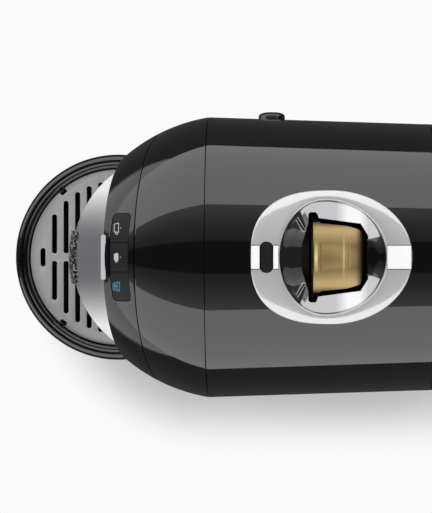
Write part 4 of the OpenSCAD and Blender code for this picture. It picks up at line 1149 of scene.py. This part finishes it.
class AddTrayRim(PieceOperator):
    """Adds the beaded rim of the drip tray with its two tabs"""

    bl_idname = "coffee.tray_rim"
    bl_label = "Tray rim"

    # Distance in from the outer edge and down from the top, over the outer band, the groove and the inner band
    steps = [(0, 0.0048), (0.00012, 0.004), (0.0004, 0.0031), (0.0009, 0.0022), (0.0015, 0.0015), (0.0023, 0.0009),
             (0.0033, 0.0004), (0.0037, 0.0004), (0.004, 0.0007), (0.0043, 0.0012), (0.0046, 0.0008),
             (0.0050, 0.0004), (0.0061, 0.00005), (0.0066, 0), (0.0071, 0.0002), (0.0076, 0.0009)]
    tab = (0.0036, 0.0036, 0.0036)

    def execute(self, context):
        t = tray()
        inner = t.grille_r + 0.0004
        profile = [(inner - 0.003, t.shelf - 0.0032), (t.r - 0.0022, t.shelf - 0.0032), (t.r, t.shelf - 0.001)]
        profile += [(t.r - dr, t.top - dz) for dr, dz in self.steps]
        profile += [(inner + 0.0005, t.top - 0.0030), (inner, t.shelf + 0.0002), (inner, t.shelf - 0.0002),
                    (inner - 0.003, t.shelf - 0.0002)]
        piece = turned(profile, (0, t.y, 0), steps=160)
        for turn in tab_turns():
            spot = Vector((0, t.y, t.shelf + 0.0012)) + turn @ Vector((inner + 0.0005, 0, 0))
            piece = merged(piece, block(self.tab, spot, 0.0006, 0.0003, 3, turn))
        finished(piece, "tray_rim_bead", made().gloss_black, "tray", ["tray_rim"], 40)
        return {"FINISHED"}


class AddCupGrille(PieceOperator):
    """Adds the slotted steel grille"""

    bl_idname = "coffee.cup_grille"
    bl_label = "Cup grille"

    rows = 14
    end_slot = 0.0112  # length of the single slot in the first and the last row
    notch = (0.0056, 0.0042, 0.01)  # cut in the edge round each tab of the tray

    def execute(self, context):
        t = tray()
        middle = t.shelf + t.grille_t / 2
        piece = drum(t.grille_r, t.grille_t, (0, t.y, middle), sides=160)
        slots = []
        for k in range(self.rows):
            y = (k - (self.rows - 1) / 2) * t.pitch
            if k in (0, self.rows - 1):
                slots.append(self.slot(0, y, self.end_slot))
            else:
                end = math.sqrt(t.reach**2 - y * y)
                slots += [self.slot(side * (end + t.web / 2) / 2, y, end - t.web / 2) for side in (-1, 1)]
        for turn in tab_turns():
            spot = Vector((0, t.y, middle)) + turn @ Vector((t.grille_r, 0, 0))
            slots.append(block(self.notch, spot, 0.0006, steps=3, turn=turn))
        cut(piece, merged(*slots))
        finished(round_edges(piece, 0.00025, 2, 50), "cup_grille_plate", made().grille, "grille",
                 ["cup_grille"], 30)
        return {"FINISHED"}

    def slot(self, x, y, long):
        t = tray()
        return block((long, t.slot, 0.01), (x, t.y + y, t.shelf), t.slot / 2 - 0.00001, steps=8)


# ---------------------------------------------------------------- finishes of the frame


CAD_FINISHES = {
    "trim": ["spout_nozzle", "spout_plate", "base_skirt"],
    "gloss_black": ["drip_tray", "drawer_front", "tank_lid", "main_cover"],
    "panel_black": ["power_button"],
    "frost": ["light_bar"],
    "chrome": ["inlet_funnel"],
    "smoke": ["water_tank"],
    "inner": ["head_floor", "base_plate", "column_frame", "mid_deck", "rear_bulkhead", "tank_socket", "power_inlet",
              "pod_drawer", "brew_head", "power_switch"],
    "rubber": ["rubber_feet", "pump_mounts", "valve_seal", "chamber_seal"],
    "zinc": ["brew_frame", "gear_motor", "base_screws"],
    "steel": ["guide_rods"],
    "blued": ["pod_gripper"],
    "cast": ["brew_chamber", "thermoblock"],
    "brass": ["pump"],
    "ceramic": ["thermal_cutout"],
    "white": ["valve_body", "drive_rack", "drive_pinion", "flow_meter"],
    "red": ["valve_poppet"],
    "board": ["keypad_board", "control_board"],
    "hose": ["suction_hose", "pressure_hose", "brew_hose", "coffee_pipe"],
}


class DressFrame(PieceOperator):
    """Gives every piece of the frame its finish"""

    bl_idname = "coffee.dress_frame"
    bl_label = "Frame finishes"

    def execute(self, context):
        for name, nodes in CAD_FINISHES.items():
            for part in nodes:
                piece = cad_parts[part]
                piece.data.materials.clear()
                piece.data.materials.append(getattr(made(), name))
        return {"FINISHED"}


# ---------------------------------------------------------------- stage


class AddStage(PieceOperator):
    """Adds the camera, the soft lights, the pale floor and the world"""

    bl_idname = "coffee.stage"
    bl_label = "Stage"

    camera_spot = (-0.0004, 0.0222, 1.6)
    focal = 2580.0  # in pixels of the picture's frame
    long_side = 513.0
    aim = 84.6  # the picture's middle lies this many pixels in front of the point under the camera

    def execute(self, context):
        context.scene.view_settings.view_transform = "Standard"
        self.camera()
        self.lamps()
        self.floor()
        self.world()
        return {"FINISHED"}

    def camera(self):
        """The camera, level with the counter on its long side and tipped to the front."""
        tip = math.atan(self.aim / self.focal)
        bpy.ops.object.camera_add(location=self.camera_spot)
        camera = bpy.context.object
        camera.data.lens = 36 * self.focal / self.long_side
        camera.data.clip_end = 20
        rows = ((0, -1, 0), (math.cos(tip), 0, math.sin(tip)), (-math.sin(tip), 0, math.cos(tip)))
        camera.matrix_world = Matrix.Translation(self.camera_spot) @ Matrix(rows).to_4x4()
        bpy.context.scene.camera = camera

    def lamps(self):
        """Long lamps on both sides with the reflectors over them, and two that gloss doesn't show."""
        for side in (-1, 1):
            upright = Matrix(((0, 0, side), (side, 0, 0), (0, 1, 0))).to_euler()
            self.lamp(f"side_{side}", (side * 1.1, -1.8, 0.88), upright, (8.2, 1.7), 44)
        for name, spot, back, size, power in (("overhead", (-0.55, 0.5, 2.0), (-0.25, 0.25, 1), (0.7, 0.7), 9),
                                              ("front_fill", (-0.1, -2.4, 1.2), (0, -1, 0.3), (1.6, 1.2), 5)):
            turn = Vector(back).to_track_quat("Z", "Y").to_euler()
            self.lamp(name, spot, turn, size, power).visible_glossy = False
        for side in (-1, 1):
            self.card(side * 0.69, 0.88, 1.8)

    def lamp(self, name, spot, turn, size, power):
        """A rectangular lamp that the camera doesn't show."""
        bpy.ops.object.light_add(type="AREA", location=spot)
        lamp = bpy.context.object
        lamp.name = name
        lamp.rotation_euler = turn
        lamp.data.shape = "RECTANGLE"
        lamp.data.size, lamp.data.size_y = size
        lamp.data.energy = power
        lamp.visible_camera = False
        return lamp

    def card(self, x, width, z):
        """A dim reflector overhead, brighter away from the middle, that only gloss shows."""
        bpy.ops.mesh.primitive_plane_add(size=1, location=(x, -1.8, z))
        card = bpy.context.object
        card.scale = (width, 10, 1)
        bpy.ops.object.transform_apply()
        card.name = f"reflector_{'left' if x < 0 else 'right'}"
        tree = self.material(card, "Dim reflector")
        tree.nodes.clear()
        glow = self.glow(tree, ramp(tree, plan_of(tree)[0], 0.25, 1.25, 0.10, 0.30, "SMOOTHSTEP"))
        node(tree, "OutputMaterial", {"Surface": glow})
        card.visible_camera = card.visible_diffuse = card.visible_shadow = card.visible_transmission = False

    def material(self, piece, name):
        """Gives a piece a new material and returns its nodes."""
        material = bpy.data.materials.new(name)
        material.use_nodes = True
        piece.data.materials.append(material)
        return material.node_tree

    def glow(self, tree, strength):
        """A shader that gives off white light."""
        return node(tree, "Emission", {"Strength": strength}).outputs[0]

    def floor(self):
        """The floor: white to the camera save for the shade, and dark with two bright fields to gloss."""
        bpy.ops.mesh.primitive_plane_add(size=14)
        floor = bpy.context.object
        floor.name = "floor"
        tree = self.material(floor, "Pale floor")
        bsdf = tree.nodes["Principled BSDF"]
        for key, value in (("Base Color", (0.82, 0.82, 0.82, 1)), ("Roughness", 0.8), ("Specular IOR Level", 0.0)):
            bsdf.inputs[key].default_value = value
        path, plain = node(tree, "LightPath").outputs, bsdf.outputs[0]
        lit = node(tree, "AddShader", {0: plain, 1: self.glow(tree, 0.16)}).outputs[0]
        spread = blended(tree, self.white_field(tree), lit, self.glow(tree, 0.955))
        seen = blended(tree, path["Is Camera Ray"], plain, spread)
        dark = node(tree, "BsdfDiffuse", {"Color": (0.07, 0.07, 0.075, 1)}).outputs[0]
        below = blended(tree, self.front_fields(tree), dark, self.glow(tree, 0.66))
        mirrored = blended(tree, path["Is Glossy Ray"], seen, below)
        tree.links.new(mirrored, tree.nodes["Material Output"].inputs["Surface"])

    def white_field(self, tree):
        """Mask of the floor that shows as plain white: all but the shaded strip on the right and round the front."""
        apart = node(tree, "SeparateXYZ", {0: place_of(tree)}).outputs
        front = reckon(tree, "MINIMUM", reckon(tree, "ADD", apart["Y"], 0.03), 0.0)
        spot = node(tree, "CombineXYZ", {"X": apart["X"], "Y": front}).outputs[0]
        reach = node(tree, "VectorMath", {0: spot}, operation="LENGTH").outputs["Value"]
        fade = ramp(tree, reach, 0.084, 0.124, kind="SMOOTHSTEP")
        return reckon(tree, "MAXIMUM", fade, ramp(tree, apart["X"], 0.02, -0.02))

    def front_fields(self, tree):
        """Mask of two bright fields of floor in front, left and right of the middle, that only gloss shows."""
        away, y = plan_of(tree)
        ahead = reckon(tree, "MULTIPLY", y, -1.0)
        total = ramp(tree, away, 1.25, 1.29, 1.0, 0.0)
        for value, other, slope, start, end in ((ahead, away, -0.28, 0.29, 0.35), (away, ahead, -0.22, -0.03, 0.05)):
            beside = reckon(tree, "MULTIPLY_ADD", other, slope, value)
            total = product(tree, total, ramp(tree, beside, start, end))
        return total

    def world(self):
        """The surroundings: white to the camera, dim to gloss and soft to all else."""
        world = bpy.data.worlds.new("Studio")
        bpy.context.scene.world = world
        world.use_nodes = True
        tree = world.node_tree
        tree.nodes.clear()
        path = node(tree, "LightPath").outputs
        soft, dim, white = (node(tree, "Background", {"Strength": power}).outputs[0] for power in (0.3, 0.03, 1.0))
        gloss = blended(tree, path["Is Glossy Ray"], soft, dim)
        node(tree, "OutputWorld", {"Surface": blended(tree, path["Is Camera Ray"], gloss, white)})


# ---------------------------------------------------------------- add-on


OPERATORS = [AddStage, DressFrame, AddMainCover, AddNoseCover, AddControlPanel, AddBrewKeys, AddSpoutCowl,
             AddInletRing, AddInletDish, AddPod, AddTank, AddPowerButton, AddTrayRim, AddCupGrille]
GROUPS = {"coffee_body": BodySizes, "coffee_inlet": InletSizes, "coffee_tray": TraySizes,
          "coffee_colours": FinishColours}


class CoffeePanel(bpy.types.Panel):
    """Lists the pieces of the coffee machine"""

    bl_idname = "VIEW3D_PT_coffee"
    bl_label = "Pod Coffee Machine"
    bl_space_type = "VIEW_3D"
    bl_region_type = "UI"
    bl_category = "Coffee"

    def draw(self, context):
        for operator in OPERATORS:
            self.layout.operator(operator.bl_idname)


def register():
    for group in GROUPS.values():
        bpy.utils.register_class(group)
    for name, group in GROUPS.items():
        setattr(bpy.types.Scene, name, bpy.props.PointerProperty(type=group))
    for operator in OPERATORS:
        bpy.utils.register_class(operator)
    bpy.utils.register_class(CoffeePanel)


def unregister():
    bpy.utils.unregister_class(CoffeePanel)
    for operator in reversed(OPERATORS):
        bpy.utils.unregister_class(operator)
    for name, group in GROUPS.items():
        delattr(bpy.types.Scene, name)
        bpy.utils.unregister_class(group)


def main():
    register()
    for operator in OPERATORS:
        family, name = operator.bl_idname.split(".")
        getattr(getattr(bpy.ops, family), name)()


if __name__ == "__main__":
    main()
